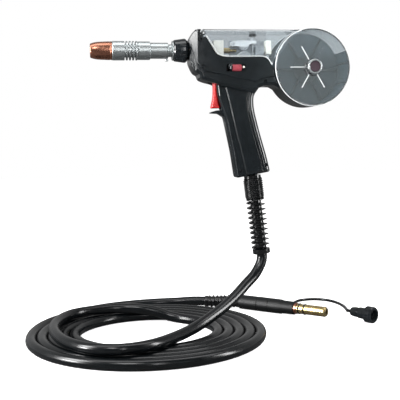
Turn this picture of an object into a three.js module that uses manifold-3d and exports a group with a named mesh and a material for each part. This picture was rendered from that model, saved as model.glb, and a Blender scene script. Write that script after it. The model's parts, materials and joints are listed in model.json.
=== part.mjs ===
// MIG spool-gun welding torch with its cable, power plug and control plug.
// Millimetres, +Z up. X runs along the barrel, muzzle towards -X; Y runs across the gun.
// Origin: the middle of the hand grip, on the gun's centre plane.
import * as THREE from 'three';
import { mergeVertices } from 'three/addons/utils/BufferGeometryUtils.js';
import Module from 'manifold-3d';

const wasm = await Module();
wasm.setup();

// ---- driving dimensions ----
const GAP = 0.3;                     // air between pieces that touch
const WALL = 2.5;                    // moulded shell wall
const CLEAR_WALL = 2;                // clear moulding wall
const LINE_Z = 134.5;                // height of the barrel axis and of the wire
const BODY_HALF = 25;                // half width of the body over its side pods
const WAIST_HALF = 23.4;             // half width below the pods
const GRIP_HALF = 17;                // half width of the grip
const GRIP_ROUND = 7;                // rounding of the grip's long edges
const CANOPY_TOP = 163;              // top of the clear canopy
const CANOPY_PIN = [-66.5, 157.6];   // canopy hinge, x and z
const EAR_R = 5.4;                   // canopy ear round the hinge pin
const SPOOL = [97.5, 107];           // spool axis, x and z
const DRUM_R = 58;                   // outside radius of the spool housing
const DRUM_BACK = 22;                // outer face of the housing's back wall
const COVER_Y = [-30, -28];          // clear disc, outer and inner face
const RIM_STEP = 26;                 // angle where the black rim gives way to the clear one
const RIM_TOP = 107;                 // angle where the clear rim meets the canopy
const ROLL = [-2, 121.6];            // drive roll axis, x and z
const ROLL_R = 12;
const PRESS_R = 8;
const ARM_PIN = [-18, 144];          // pressure arm pivot, x and z
const SCREW = [12.6, 2.6];           // tension screw, x and y
const MOTOR_X = -7;                  // motor and gearbox axis
const TRIGGER_PIN = [-40, 92];       // trigger pivot, x and z
const DIAL = [-19.1, -22.2, 107];    // speed roller centre
const RELIEF_TOP = [8.6, 0, -50];    // where the cable axis leaves the grip
const RELIEF_TILT = 6.25;            // lean of that axis from upright, degrees
const BOOT = [6.6, 40];              // ridged boot, distances down the cable axis
const RELIEF = [40.3, 125.5];        // open coil relief, distances down the cable axis
const FLOOR = -294;                  // the surface that the cable lies on
const CABLE_R = 8;
const THIN_R = 2.5;                  // control cable
const COIL = [-155.5, -13];          // coil centre on the floor
const COIL_R = [90, 183];            // coil, inside and outside radius
const PLUG_AXIS = [20, 152, -281.4]; // back end of the power plug's grip
const PLUG_TURN = -44.3;             // heading of the power plug, degrees from +X
const PLUG_GRIP = 108;               // length of the power plug's grip
const CONTROL_AXIS = [178.6, 31, -280.7]; // back end of the control plug
const CONTROL_TURN = -58.6;          // heading of the control plug, degrees from +X

const rad = THREE.MathUtils.degToRad;
const torch = new THREE.Group();
torch.name = 'mig_welding_torch';

// ---- finishes ----
function finish(color, roughness, metalness, opacity = 1) {
  return { color, roughness, metalness, opacity, transparent: opacity < 1 };
}
const blackPlastic = finish('#232528', 0.5, 0);
const blackRubber = finish('#1b1c1e', 0.62, 0);
const cableRubber = finish('#202224', 0.45, 0);
const clearPlastic = finish('#dfe5e8', 0.1, 0, 0.35);
const whiteNylon = finish('#e8e6df', 0.5, 0);
const redPlastic = finish('#c01f1c', 0.35, 0);
const plumCap = finish('#4a2a38', 0.4, 0);
const copper = finish('#c07850', 0.25, 1);
const aluminium = finish('#c9cccf', 0.32, 1);
const steel = finish('#b4b6b8', 0.3, 1);
const darkSteel = finish('#3a3b3d', 0.45, 1);
const brass = finish('#c9a25a', 0.28, 1);

// ---- solids ----
function welded(geometry) {
  const bare = geometry.clone();
  for (const name of Object.keys(bare.attributes)) {
    if (name !== 'position') bare.deleteAttribute(name);
  }
  const merged = mergeVertices(bare, 1e-4);
  const ids = merged.index.array;
  const kept = [];
  for (let i = 0; i < ids.length; i += 3) {
    const [a, b, c] = [ids[i], ids[i + 1], ids[i + 2]];
    if (a !== b && b !== c && c !== a) kept.push(a, b, c);
  }
  merged.setIndex(kept);
  return merged;
}

function signedVolume(geometry) {
  const p = geometry.attributes.position;
  const ids = geometry.index.array;
  const [a, b, c] = [new THREE.Vector3(), new THREE.Vector3(), new THREE.Vector3()];
  let sum = 0;
  for (let i = 0; i < ids.length; i += 3) {
    a.fromBufferAttribute(p, ids[i]);
    b.fromBufferAttribute(p, ids[i + 1]);
    c.fromBufferAttribute(p, ids[i + 2]);
    sum += a.dot(b.cross(c)) / 6;
  }
  return sum;
}

// Merges the vertices and turns the faces outward.
function closed(geometry) {
  const body = welded(geometry);
  if (signedVolume(body) < 0) {
    const ids = Array.from(body.index.array);
    for (let i = 0; i < ids.length; i += 3) [ids[i], ids[i + 1]] = [ids[i + 1], ids[i]];
    body.setIndex(ids);
  }
  return body;
}

function toManifold(geometry) {
  const body = closed(geometry);
  return new wasm.Manifold(new wasm.Mesh({
    numProp: 3,
    vertProperties: new Float32Array(body.attributes.position.array),
    triVerts: new Uint32Array(body.index.array),
  }));
}

function fromManifold(manifold) {
  const mesh = manifold.getMesh();
  const geometry = new THREE.BufferGeometry();
  geometry.setAttribute('position', new THREE.BufferAttribute(mesh.vertProperties, 3));
  geometry.setIndex(new THREE.BufferAttribute(mesh.triVerts, 1));
  return geometry;
}

function combine(first, others, step) {
  let result = toManifold(first);
  for (const other of others) result = step(result, toManifold(other));
  return fromManifold(result);
}
const join = (first, ...others) => combine(first, others, (a, b) => a.add(b));
const cut = (first, ...others) => combine(first, others, (a, b) => a.subtract(b));
const common = (first, ...others) => combine(first, others, (a, b) => a.intersect(b));

function add(name, geometry, look, parent = torch) {
  const mesh = new THREE.Mesh(closed(geometry), new THREE.MeshStandardMaterial(look));
  mesh.name = name;
  parent.add(mesh);
  return mesh;
}

// ---- shape helpers ----
// A closed outline from corners [x, y, rounding]; a rounding takes at most 0.45 of an edge.
function outline(corners) {
  const shape = new THREE.Shape();
  const count = corners.length;
  const towards = (from, to, distance) => {
    const a = new THREE.Vector2(from[0], from[1]);
    const way = new THREE.Vector2(to[0], to[1]).sub(a);
    return a.add(way.setLength(Math.min(distance, 0.45 * way.length())));
  };
  corners.forEach((corner, i) => {
    const round = corner[2] ?? 0;
    const before = corners[(i + count - 1) % count];
    const after = corners[(i + 1) % count];
    const start = round ? towards(corner, before, round) : new THREE.Vector2(corner[0], corner[1]);
    if (i === 0) shape.moveTo(start.x, start.y);
    else shape.lineTo(start.x, start.y);
    if (round) {
      const end = towards(corner, after, round);
      shape.quadraticCurveTo(corner[0], corner[1], end.x, end.y);
    }
  });
  shape.closePath();
  return shape;
}

function disc(radius, x = 0, y = 0) {
  const shape = new THREE.Shape();
  shape.absarc(x, y, radius, 0, 2 * Math.PI);
  return shape;
}

// An outline in X and Z, extruded across the gun from y0 to y1, with rounded long edges.
function slabXZ(shape, y0, y1, { round = 0, inset = 0, curve = 3, steps = 2 } = {}) {
  const geometry = new THREE.ExtrudeGeometry(shape, {
    depth: y1 - y0 - 2 * round,
    bevelEnabled: round > 0 || inset > 0,
    bevelThickness: Math.max(round, 1e-3),
    bevelSize: round,
    bevelOffset: -round - inset,
    bevelSegments: round > 0 ? steps : 1,
    curveSegments: curve,
  });
  geometry.translate(0, 0, round);
  geometry.rotateX(Math.PI / 2);
  geometry.translate(0, y1, 0);
  return geometry;
}

function slabXY(shape, z0, z1, curve = 4) {
  const geometry = new THREE.ExtrudeGeometry(shape, {
    depth: z1 - z0, bevelEnabled: false, curveSegments: curve,
  });
  geometry.translate(0, 0, z0);
  return geometry;
}

function block(x0, x1, y0, y1, z0, z1) {
  const geometry = new THREE.BoxGeometry(x1 - x0, y1 - y0, z1 - z0);
  geometry.translate((x0 + x1) / 2, (y0 + y1) / 2, (z0 + z1) / 2);
  return geometry;
}

// A turned body: profile points are [distance along the axis, radius].
function turned(axis, profile, segments = 24, at = [0, 0, 0]) {
  const points = profile.map(([along, radius]) => new THREE.Vector2(radius, along));
  const geometry = new THREE.LatheGeometry(points, segments);
  if (axis === 'x') geometry.rotateZ(-Math.PI / 2);
  if (axis === 'z') geometry.rotateX(Math.PI / 2);
  geometry.translate(...at);
  return geometry;
}

const rod = (axis, a0, a1, radius, at, segments = 16) =>
  turned(axis, [[a0, 0], [a0, radius], [a1, radius], [a1, 0]], segments, at);
const pipe = (axis, a0, a1, inner, outer, at, segments = 24) =>
  turned(axis, [[a0, inner], [a0, outer], [a1, outer], [a1, inner], [a0, inner]], segments, at);
const onSpool = [SPOOL[0], 0, SPOOL[1]];
const onLine = [0, 0, LINE_Z];

function coilSpring(axis, a0, a1, radius, wire, turns, at, stepsPerTurn = 8) {
  class Helix extends THREE.Curve {
    getPoint(t, target = new THREE.Vector3()) {
      const angle = 2 * Math.PI * turns * t;
      const along = a0 + (a1 - a0) * t;
      const [c, s] = [radius * Math.cos(angle), radius * Math.sin(angle)];
      if (axis === 'x') return target.set(along, c, s);
      if (axis === 'y') return target.set(c, along, s);
      return target.set(c, s, along);
    }
  }
  const geometry = new THREE.ExtrudeGeometry(disc(wire), {
    steps: Math.round(turns * stepsPerTurn),
    extrudePath: new Helix(),
    curveSegments: 2,
    bevelEnabled: false,
  });
  geometry.translate(...at);
  return geometry;
}

// A round tube along a smooth curve through the points.
function tubeAlong(points, radius, steps, sides) {
  const curve = new THREE.CatmullRomCurve3(points.map((p) => new THREE.Vector3(...p)));
  return new THREE.ExtrudeGeometry(disc(radius), {
    steps, extrudePath: curve, curveSegments: sides / 2, bevelEnabled: false,
  });
}

// ---- barrel, front to back ----
const NOZZLE = [-232, -200.4];
const FRONT_BARREL = [-200, -162.3];
const REAR_BARREL = [-162, -90];
const NUT = [-109, -87.2];

function buildNozzle() {
  const [front, back] = NOZZLE;
  return turned('x', [
    [front, 8.2], [front + 1.2, 9.8], [front + 7, 12.4], [front + 9, 12.5], [front + 14, 12.5],
    [front + 15, 12.1], [front + 17, 12.1], [front + 18, 12.5], [back - 3.4, 12.5],
    [back - 2.2, 13.9], [back, 13.9], [back, 9.8], [front + 14, 9.8], [front, 8.2],
  ], 24, onLine);
}

function buildFrontBarrel() {
  const [front, back] = FRONT_BARREL;
  const outer = 14.1;
  const groove = 9.9;
  const fins = [-181.9, -177.2, -172.5, -167.8, -163.1];
  const points = [[front, 9], [front, outer - 0.6], [front + 0.8, outer]];
  for (const start of fins.slice(0, 4)) {
    points.push([start - 0.05, outer], [start + 0.35, groove], [start + 1.95, groove]);
    points.push([start + 2.35, outer]);
  }
  points.push([back, outer], [back, 9], [front, 9]);
  return turned('x', points, 20, onLine);
}

function buildRearBarrel() {
  const [front, back] = REAR_BARREL;
  return turned('x', [
    [front, 7], [front, 13], [front + 0.6, 13.5], [front + 17.5, 13.5], [front + 18.4, 11.75],
    [front + 44.3, 11.75], [front + 45.6, 9.2], [front + 50, 9.2], [front + 51, 14.5],
    [front + 52.4, 14.5], [front + 52.6, 9.6], [back, 9.6], [back, 7], [front, 7],
  ], 20, onLine);
}

function buildBarrelNut() {
  const [front, back] = NUT;
  const ring = turned('x', [
    [front, 10], [front, 14.6], [front + 1.4, 15.8], [back - 5.5, 17.8], [back - 0.6, 14],
    [back, 12.5], [back, 10], [front, 10],
  ], 32, onLine);
  const flutes = [];
  for (let i = 0; i < 8; i += 1) {
    const angle = (i + 0.5) * Math.PI / 4;
    const at = [0, 19.1 * Math.cos(angle), LINE_Z + 19.1 * Math.sin(angle)];
    flutes.push(rod('x', front - 1, back - 4.5, 2.6, at, 8));
  }
  return cut(ring, ...flutes);
}

add('nozzle', buildNozzle(), copper);
add('nozzle_insulator', pipe('x', -217.5, -201, 6.6, 9.5, onLine, 20), whiteNylon);
add('contact_tip', turned('x', [
  [-230.5, 0.6], [-230.5, 2.4], [-227, 4], [-222.4, 4], [-222.4, 0.6], [-230.5, 0.6],
], 16, onLine), copper);
add('gas_diffuser', turned('x', [
  [-222, 1.2], [-222, 4.8], [-219, 6.3], [-198, 6.3], [-196.4, 5], [-196.4, 1.2], [-222, 1.2],
], 16, onLine), brass);
add('front_barrel', buildFrontBarrel(), aluminium);
add('rear_barrel', buildRearBarrel(), aluminium);
add('barrel_nut', buildBarrelNut(), blackPlastic);
add('barrel_screw', turned('z', [
  [-15.6, 0], [-15.6, 1.6], [-15, 2.3], [-12.1, 2.3], [-12.1, 0],
], 12, [-119.3, 0, LINE_Z]), steel);
add('conductor_tube', pipe('x', -196, -50, 1.2, 5.6, onLine, 16), copper);

// ---- body shells ----
const seamEdge = [
  [39.6, 105.4], [36.3, 109.2, 3], [29.4, 120.4, 4], [22.4, 123.1, 3.5], [-36, 123, 8],
  [-47.4, 127, 4.5], [-60.6, 148.4, 3], [-70.4, 163.2, 3],
];
const headOutline = outline([
  ...seamEdge, [-77.8, 163.2], [-86.6, 150, 5], [-87, 116, 5], [-78.6, 101, 4], [-73.4, 98.2],
  [-71, 91.4, 4], [-62, 88, 4], [-50, 85.2, 4], [-42, 80], [8, 70], [17.5, 78.4, 5],
  [27, 80.9, 4], [40, 80.8], [52, 74], [60, 98],
]);
const podOutline = outline([
  ...seamEdge, [-76, 163.2], [-80, 150, 3], [-80, 118, 3], [-67.1, 101.9, 5],
  [-38.5, 96.2, 6], [4.8, 87.6, 5], [11, 85.6, 3], [18, 89.4, 3], [26, 91.6, 3], [48, 94.6],
]);
const headPlan = outline([
  [-87.2, -13, 1.5], [-75.2, -BODY_HALF - 0.4, 1.5], [66, -BODY_HALF - 0.4],
  [66, BODY_HALF + 0.4], [-75.2, BODY_HALF + 0.4, 1.5], [-87.2, 13, 1.5],
]);
// The bay in plan, which keeps the wall behind the front facets.
const bayHalf = BODY_HALF - WALL - 1;
const bayPlan = outline([
  [-83.9, -12.8], [-75.5, -bayHalf], [60, -bayHalf], [60, bayHalf], [-75.5, bayHalf], [-83.9, 12.8],
]);
const gripOutline = outline([
  [-46, 96], [-42.6, 66, 6], [-38.2, 44, 5], [-34, 32.8, 6], [-29.4, 10.5, 8],
  [-23.9, -16.6, 8], [-18, -57.4], [34.4, -48.6], [28.8, -24.5, 8], [18.3, 12.6, 12],
  [10, 47, 10], [9.8, 66, 6], [20, 80, 5], [24, 96],
]);
const guardOutline = outline([
  [-34, 45.6], [-46.4, 45.1, 2], [-55, 42.6, 0.6], [-55.2, 41, 0.6], [-43, 40.2, 2], [-34, 34],
]);
const bayOutline = outline([
  [-83.9, 118, 3], [-83.6, 149.2, 2], [-76.2, 160.4, 1], [-72.6, 160.4], [-72.6, 175],
  [36, 175], [36, 108], [45, 104], [45, 85], [10, 82, 3],
  [-48, 89.4, 4], [-66, 92, 3], [-69, 101, 3], [-76, 105, 3],
]);

const gripCable = (radius, from, to) => {
  const geometry = rod('z', -to, -from, radius, [0, 0, 0], 20);
  geometry.rotateY(rad(-RELIEF_TILT));
  geometry.translate(...RELIEF_TOP);
  return geometry;
};

const screwSites = [
  [-72, 147.6, BODY_HALF], [-67.6, 108.6, BODY_HALF], [25.8, 87, WAIST_HALF],
  [27.6, -37.5, GRIP_HALF], [-11.4, -46, GRIP_HALF],
];

function buildShells() {
  const head = common(
    join(
      slabXZ(headOutline, -WAIST_HALF, WAIST_HALF, { round: 1.6, curve: 2, steps: 1 }),
      slabXZ(podOutline, -BODY_HALF, BODY_HALF, { round: 1.2, curve: 2, steps: 1 }),
    ),
    slabXY(headPlan, 60, 170, 2),
  );
  const grip = slabXZ(gripOutline, -GRIP_HALF, GRIP_HALF, { round: GRIP_ROUND, curve: 2 });
  const inside = GRIP_HALF - WALL - 0.3;
  const gripHollow = slabXZ(gripOutline, -inside, inside, { round: 4.5, inset: WALL + 0.3, curve: 2, steps: 1 });
  const lug = [CANOPY_PIN[0], 0, CANOPY_PIN[1]];
  const whole = cut(
    join(head, grip, slabXZ(guardOutline, -8, 8, { curve: 2 })),
    common(slabXZ(bayOutline, -bayHalf, bayHalf, { curve: 2 }), slabXY(bayPlan, 60, 180, 1)),
    gripHollow,
    rod('y', -60, 60, DRUM_R + 0.5, onSpool, 36),
    rod('y', -60, 60, EAR_R + 0.4, lug, 20),
    rod('x', -95, -78, 12, onLine, 28),
    block(-58, -28, -7.6, 7.6, 47.5, 97),
    gripCable(CABLE_R + 0.5, -4, 14),
  );
  const hinge = join(
    block(-79, CANOPY_PIN[0], -bayHalf - 0.2, bayHalf + 0.2, CANOPY_PIN[1] - 4,
      CANOPY_PIN[1] + 0.4),
    rod('y', -bayHalf - 0.2, bayHalf + 0.2, 2.9, lug, 12),
  );
  const lugs = cut(hinge, block(-90, -50, -12, 12, 140, 170), rod('y', -30, 30, 1.7, lug, 12));
  const pivot = [TRIGGER_PIN[0], 0, TRIGGER_PIN[1]];
  const bosses = cut(
    join(rod('y', 7.8, bayHalf + 0.2, 3.6, pivot, 14), rod('y', -bayHalf - 0.2, -7.8, 3.6, pivot, 14)),
    rod('y', -30, 30, 1.7, pivot, 12),
  );
  const body = join(whole, lugs, bosses);
  const screwHoles = screwSites.flatMap(([x, z, half]) => [
    rod('y', -half - 2, -half + 1.6, 3, [x, 0, z], 12),
  ]);
  const dialWindow = block(-33.4, -4.6, -BODY_HALF - 2, -BODY_HALF + 5, 101.6, 112.4);
  const near = cut(common(body, block(-100, 60, -40, -GAP / 2, -70, 180)),
    ...screwHoles, dialWindow);
  const far = common(body, block(-100, 60, GAP / 2, 40, -70, 180));
  return { near, far };
}

// The drum: a back wall with ribs and the black part of the rim wall.
function buildDrum() {
  const wedge = new THREE.Shape();
  wedge.moveTo(SPOOL[0], SPOOL[1]);
  const reach = 90;
  for (const angle of [RIM_STEP, 60, 90, 135, 180]) {
    wedge.lineTo(SPOOL[0] + reach * Math.cos(rad(angle)), SPOOL[1] + reach * Math.sin(rad(angle)));
  }
  wedge.closePath();
  const inner = DRUM_R - WALL;
  const floorY = DRUM_BACK - WALL;
  const rim = cut(
    pipe('y', COVER_Y[1] + GAP, floorY + 0.5, inner, DRUM_R, onSpool, 36),
    slabXZ(wedge, -40, floorY),
  );
  const parts = [rim, rod('y', floorY, DRUM_BACK, DRUM_R, onSpool, 36),
    rod('y', 16.5, floorY + 0.5, 13, onSpool, 24)];
  for (let i = 0; i < 6; i += 1) {
    const rib = block(12, 54, floorY - 1.6, floorY + 0.5, -0.9, 0.9);
    rib.rotateY(-rad(60 * i));
    rib.translate(...onSpool);
    parts.push(rib);
  }
  // A bridge carries the drum on the far half of the body.
  const bridge = slabXZ(outline([[38, 104], [38, 82], [50, 76], [54, 80], [46, 104]]),
    GAP / 2 + 3, floorY + 1);
  const clearance = rod('y', -50, floorY, inner, onSpool, 36);
  return cut(join(parts[0], ...parts.slice(1), cut(bridge, clearance)),
    rod('y', 0, 30, 3.4, onSpool, 16));
}

const shells = buildShells();
add('left_shell', shells.near, blackPlastic);
add('right_shell', join(shells.far, buildDrum()), blackPlastic);
screwSites.forEach(([x, z, half], i) => {
  add(`shell_screw_${i + 1}`, turned('y', [
    [-half - 0.1, 0], [-half - 0.1, 1.3], [-half + 0.5, 1.6], [-half - 0.1, 2.1],
    [-half + 0.2, 2.5], [-half + 1.3, 2.5], [-half + 1.3, 0],
  ], 8, [x, 0, z]), darkSteel);
});

// ---- trigger and switch ----
const triggerOutline = outline([
  [-50.4, 84], [-51, 77, 6], [-52.4, 62, 6], [-54.6, 48.4], [-39.6, 48.4],
  [-41.8, 60, 5], [-44.4, 74, 5], [-43, 84], [-36.4, 88], [-36.4, 96], [-43.4, 96],
  [-45, 87.4],
]);
const onTrigger = [TRIGGER_PIN[0], 0, TRIGGER_PIN[1]];
const SWITCH_Z = 67;                 // height of the switch plunger
add('trigger', cut(
  slabXZ(triggerOutline, -6.8, 6.8, { round: 1.2, curve: 2, steps: 2 }),
  rod('y', -9, 9, 1.7, onTrigger, 12),
  block(-50, -30, -2.5, 2.5, 88.4, 98),
), redPlastic);
add('trigger_pin', rod('y', -10.6, 10.6, 1.4, onTrigger, 12), steel);
add('trigger_spring', coilSpring('y', -1.7, 1.7, 2.4, 0.4, 3, onTrigger, 7), steel);
add('micro_switch', cut(
  block(-30.6, -18.4, -5.2, 5.2, 57, 72),
  rod('x', -32, -23.6, 2.1, [0, 0, SWITCH_Z], 12),
), blackPlastic);
add('switch_plunger', rod('x', -42.6, -28.2, 1.8, [0, 0, SWITCH_Z], 12), redPlastic);

// ---- speed control ----
add('speed_roller', turned('x', [
  [-8.6, 0], [-8.6, 4.2], [-7.8, 5], [7.8, 5], [8.6, 4.2], [8.6, 0],
], 20, DIAL), redPlastic);
add('speed_potentiometer', block(-10.2, 3.4, -20.8, -13, 100.4, 113.6), blackPlastic);
add('pointer_dot', turned('y', [
  [-25.2, 0], [-25.2, 1.1], [-24.8, 1.6], [-21.2, 1.6], [-21.2, 0],
], 12, [-7.3, 0, 108]), whiteNylon);

// ---- wire drive ----
add('insulator_block', cut(
  join(block(-49.4, -34.4, -9, 9, 116, 149), block(-49.4, -34.4, -14, 14, 116, 122)),
  rod('x', -60, -30, 2.4, onLine, 12),
), whiteNylon);
add('outlet_guide', turned('x', [
  [-34, 1], [-34, 4.2], [-24, 4.2], [-22, 2.2], [-13.4, 2.2], [-13.4, 1], [-34, 1],
], 16, onLine), brass);
add('inlet_guide', cut(
  join(block(31, 39, -8, 5.6, 128.6, 149), rod('x', 28.4, 31.4, 4, onLine, 16)),
  rod('x', 20, 45, 1.4, onLine, 10),
), whiteNylon);
add('drive_frame', cut(
  join(
    block(-23, 35.4, 6, 10, 112, 150),
    block(-23, 35.4, 6, 13.8, 109.5, 112.5),
    block(15.2, 28, -7, 6.5, 127.4, 140),
    block(12.6, 17, -7, 7, 112, 127.6),
  ),
  rod('y', 0, 20, 4.3, [ROLL[0], 0, ROLL[1]], 16),
  rod('y', 0, 20, 1.9, [ARM_PIN[0], 0, ARM_PIN[1]], 12),
  rod('y', -10, -5.6, 1.8, [20.6, 0, 133.6], 10),
  rod('x', 10, 30, 1.4, onLine, 10),
), aluminium);
add('drive_roll', join(
  turned('y', [
    [-5, 0], [-5, ROLL_R], [-1, ROLL_R], [0, ROLL_R - 0.9], [1, ROLL_R], [5, ROLL_R], [5, 0],
  ], 28, [ROLL[0], 0, ROLL[1]]),
  rod('y', 4, 14, 4, [ROLL[0], 0, ROLL[1]], 16),
  rod('y', -7.4, -4, 3, [ROLL[0], 0, ROLL[1]], 6),
), steel);
const PRESS = [ROLL[0], LINE_Z + 0.6 + PRESS_R];
add('pressure_roll', pipe('y', -3, 3, 2.3, PRESS_R, [PRESS[0], 0, PRESS[1]], 24), steel);
const ARM_TOP = 149;                 // flat under the tension spring
function buildArm() {
  const armOutline = outline([
    [-22, 140.4, 2], [-22, 148, 3], [-10, 149.4, 3], [17, ARM_TOP, 1.5], [17, 144.6, 1],
    [7, 144.6, 2], [3.4, 139.4, 2], [-7, 139.4, 2], [-12, 141, 2],
  ]);
  const arm = cut(
    slabXZ(armOutline, -5, 5.6),
    block(-10.8, 6.8, -3.4, 3.4, 130, 160),
    rod('y', -9, 9, 1.9, [ARM_PIN[0], 0, ARM_PIN[1]], 12),
    block(SCREW[0] - 2.4, 20, SCREW[1] - 1.9, SCREW[1] + 1.9, 140, 156),
  );
  return join(arm, rod('y', -3.8, 3.8, 2, [PRESS[0], 0, PRESS[1]], 12));
}
add('pressure_arm', buildArm(), aluminium);
add('arm_pin', rod('y', -6, 8.6, 1.6, [ARM_PIN[0], 0, ARM_PIN[1]], 12), steel);
const onScrew = [SCREW[0], SCREW[1], 0];
add('tension_screw', join(
  rod('z', 129, 158, 1.4, onScrew, 12),
  block(10.8, 14.8, 0.7, 5.6, 127.9, 131),
), steel);
add('tension_spring', coilSpring('z', ARM_TOP + 0.8, 155.1, 3.1, 0.45, 3, onScrew, 8), steel);
add('tension_knob', cut(
  turned('z', [[155.9, 0], [155.9, 5], [156.4, 5.4], [159.6, 5.4], [160.2, 4.8], [160.2, 0]],
    16, onScrew),
  rod('z', 150, 158.4, 1.8, onScrew, 12),
), blackPlastic);
add('motor', join(
  rod('z', 62, 98, 10.8, [MOTOR_X, 0, 0], 20),
  rod('z', 97, 100, 4, [MOTOR_X, 0, 0], 12),
), steel);
add('gearbox', cut(
  join(block(-20, 6, -12, 20.6, 100.4, 109), block(-10, 6, 14.4, 20.6, 108, 128)),
  rod('z', 95, 104, 4.3, [MOTOR_X, 0, 0], 12),
), darkSteel);

// ---- clear canopy over the drive ----
function arcPoints(centre, radius, from, to, count) {
  const points = [];
  for (let i = 0; i <= count; i += 1) {
    const angle = rad(from + (to - from) * i / count);
    points.push([centre[0] + radius * Math.cos(angle), centre[1] + radius * Math.sin(angle)]);
  }
  return points;
}

function buildCanopy() {
  const edge = 0.45;                 // canopy edge stands this far off the shells
  const rearR = DRUM_R + 0.7;        // rear edge follows the drum
  const swing = Math.hypot(SPOOL[0] - CANOPY_PIN[0], SPOOL[1] - CANOPY_PIN[1]) - rearR;
  const pinToSpool = Math.atan2(SPOOL[1] - CANOPY_PIN[1], SPOOL[0] - CANOPY_PIN[0]) * 180 / Math.PI;
  const topAngle = 180 - Math.asin((CANOPY_TOP - SPOOL[1]) / rearR) * 180 / Math.PI;
  const rear = [
    ...arcPoints(CANOPY_PIN, swing, -24.6, pinToSpool, 2),
    ...arcPoints(SPOOL, rearR, 180 + pinToSpool, topAngle, 8).slice(1),
  ];
  const lower = [[-36, 123 + edge, 8], [22.6, 123.1 + edge, 3], [29.7, 120.5 + edge, 5]];
  const corners = [
    [-66.2, CANOPY_TOP], [-66.1, CANOPY_PIN[1]], [-60.1, 148.4 + edge, 3],
    [-47.1, 127.2 + edge, 4], ...lower, ...rear,
  ];
  const shape = outline(corners);
  const half = BODY_HALF - 0.4;
  const outer = join(
    slabXZ(shape, -half, half, { round: 1.4, curve: 2, steps: 1 }),
    rod('y', -half, half, EAR_R, [CANOPY_PIN[0], 0, CANOPY_PIN[1]], 20),
  );
  const hollow = slabXZ(outline([
    [-80, 100], [110, 100], [110, CANOPY_TOP - CLEAR_WALL], [-80, CANOPY_TOP - CLEAR_WALL],
  ]), -half + CLEAR_WALL, half - CLEAR_WALL, { round: 1 });
  const front = cut(block(-80, CANOPY_PIN[0], -40, 40, 140, 170),
    rod('y', -50, 50, EAR_R, [CANOPY_PIN[0], 0, CANOPY_PIN[1]], 20));
  const overLugs = block(-80, CANOPY_PIN[0] + 0.3, -half + CLEAR_WALL, half - CLEAR_WALL, 140, 170);
  return cut(outer, hollow, front, overLugs, rod('y', -40, 40, 1.7, [CANOPY_PIN[0], 0, CANOPY_PIN[1]], 12));
}
add('drive_canopy', buildCanopy(), clearPlastic);
add('canopy_pin', rod('y', -24.4, 24.4, 1.4, [CANOPY_PIN[0], 0, CANOPY_PIN[1]], 12), steel);

// ---- spool housing ----
function buildCover() {
  const rimIn = DRUM_R - CLEAR_WALL;
  const keep = new THREE.Shape();
  keep.moveTo(SPOOL[0], SPOOL[1]);
  const reach = 90;
  for (const angle of [RIM_STEP + 0.5, 50, 78, RIM_TOP]) {
    keep.lineTo(SPOOL[0] + reach * Math.cos(rad(angle)), SPOOL[1] + reach * Math.sin(rad(angle)));
  }
  keep.closePath();
  const rim = common(
    pipe('y', COVER_Y[1] - 0.5, DRUM_BACK - WALL - GAP, rimIn, DRUM_R, onSpool, 36),
    slabXZ(keep, -60, 60),
  );
  const plate = turned('y', [
    [COVER_Y[1], 0], [COVER_Y[1], DRUM_R], [COVER_Y[0] + 0.7, DRUM_R], [COVER_Y[0], DRUM_R - 0.7],
    [COVER_Y[0], 13], [COVER_Y[0] - 2.6, 12.4], [COVER_Y[0] - 2.6, 0],
  ].reverse(), 36, onSpool);
  const ribs = [];
  for (let i = 0; i < 6; i += 1) {
    const rib = block(12, 35, COVER_Y[0] - 1, COVER_Y[0] + 0.5, -0.6, 0.6);
    rib.rotateY(-rad(60 * i));
    rib.translate(...onSpool);
    ribs.push(rib);
  }
  return cut(join(plate, rim, ...ribs), rod('y', -50, 0, 4.6, onSpool, 16));
}
add('spool_cover', buildCover(), clearPlastic);
const NUT_BACK = COVER_Y[0] - 2.9;
add('thumb_nut', turned('y', [
  [NUT_BACK, 4.5], [NUT_BACK, 9.6], [NUT_BACK - 1, 10.9], [NUT_BACK - 8.6, 10.9],
  [NUT_BACK - 9.2, 10.3], [NUT_BACK - 9.2, 8.6], [NUT_BACK - 5, 8.3], [NUT_BACK - 5, 4.5],
  [NUT_BACK, 4.5],
], 28, onSpool), steel);
add('nut_cap', rod('y', NUT_BACK - 8.4, NUT_BACK - 5.3, 8, onSpool, 24), plumCap);
add('spool_spindle', turned('y', [
  [18.5, 0], [18.5, 3.1], [16.2, 3.1], [16.2, 8.6], [14, 8.6], [14, 4], [NUT_BACK - 4.4, 4],
  [NUT_BACK - 4.9, 3.4], [NUT_BACK - 4.9, 0],
], 20, onSpool), steel);
add('spool_hub', turned('y', [
  [-23, 4.4], [-23, 7], [-22, 7.9], [6.5, 7.9], [6.5, 20], [9.3, 20], [9.3, 4.4], [-23, 4.4],
], 24, onSpool), blackPlastic);
add('brake_spring', coilSpring('y', 10.2, 13.1, 5.4, 0.45, 2.5, onSpool, 8), steel);

// ---- cable out of the grip ----
const reliefGroup = new THREE.Group();
reliefGroup.position.set(...RELIEF_TOP);
reliefGroup.rotation.y = rad(-RELIEF_TILT);
torch.add(reliefGroup);

// Profile points of evenly spaced ridges: a valley, then a flat crest, for each.
function ridges(from, to, count, valley, crest) {
  const pitch = (to - from) / count;
  const points = [];
  for (let i = 0; i < count; i += 1) {
    const start = from + i * pitch;
    points.push([start + 0.12 * pitch, valley], [start + 0.34 * pitch, crest]);
    points.push([start + 0.8 * pitch, crest]);
  }
  points.push([to, valley]);
  return points;
}

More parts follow.
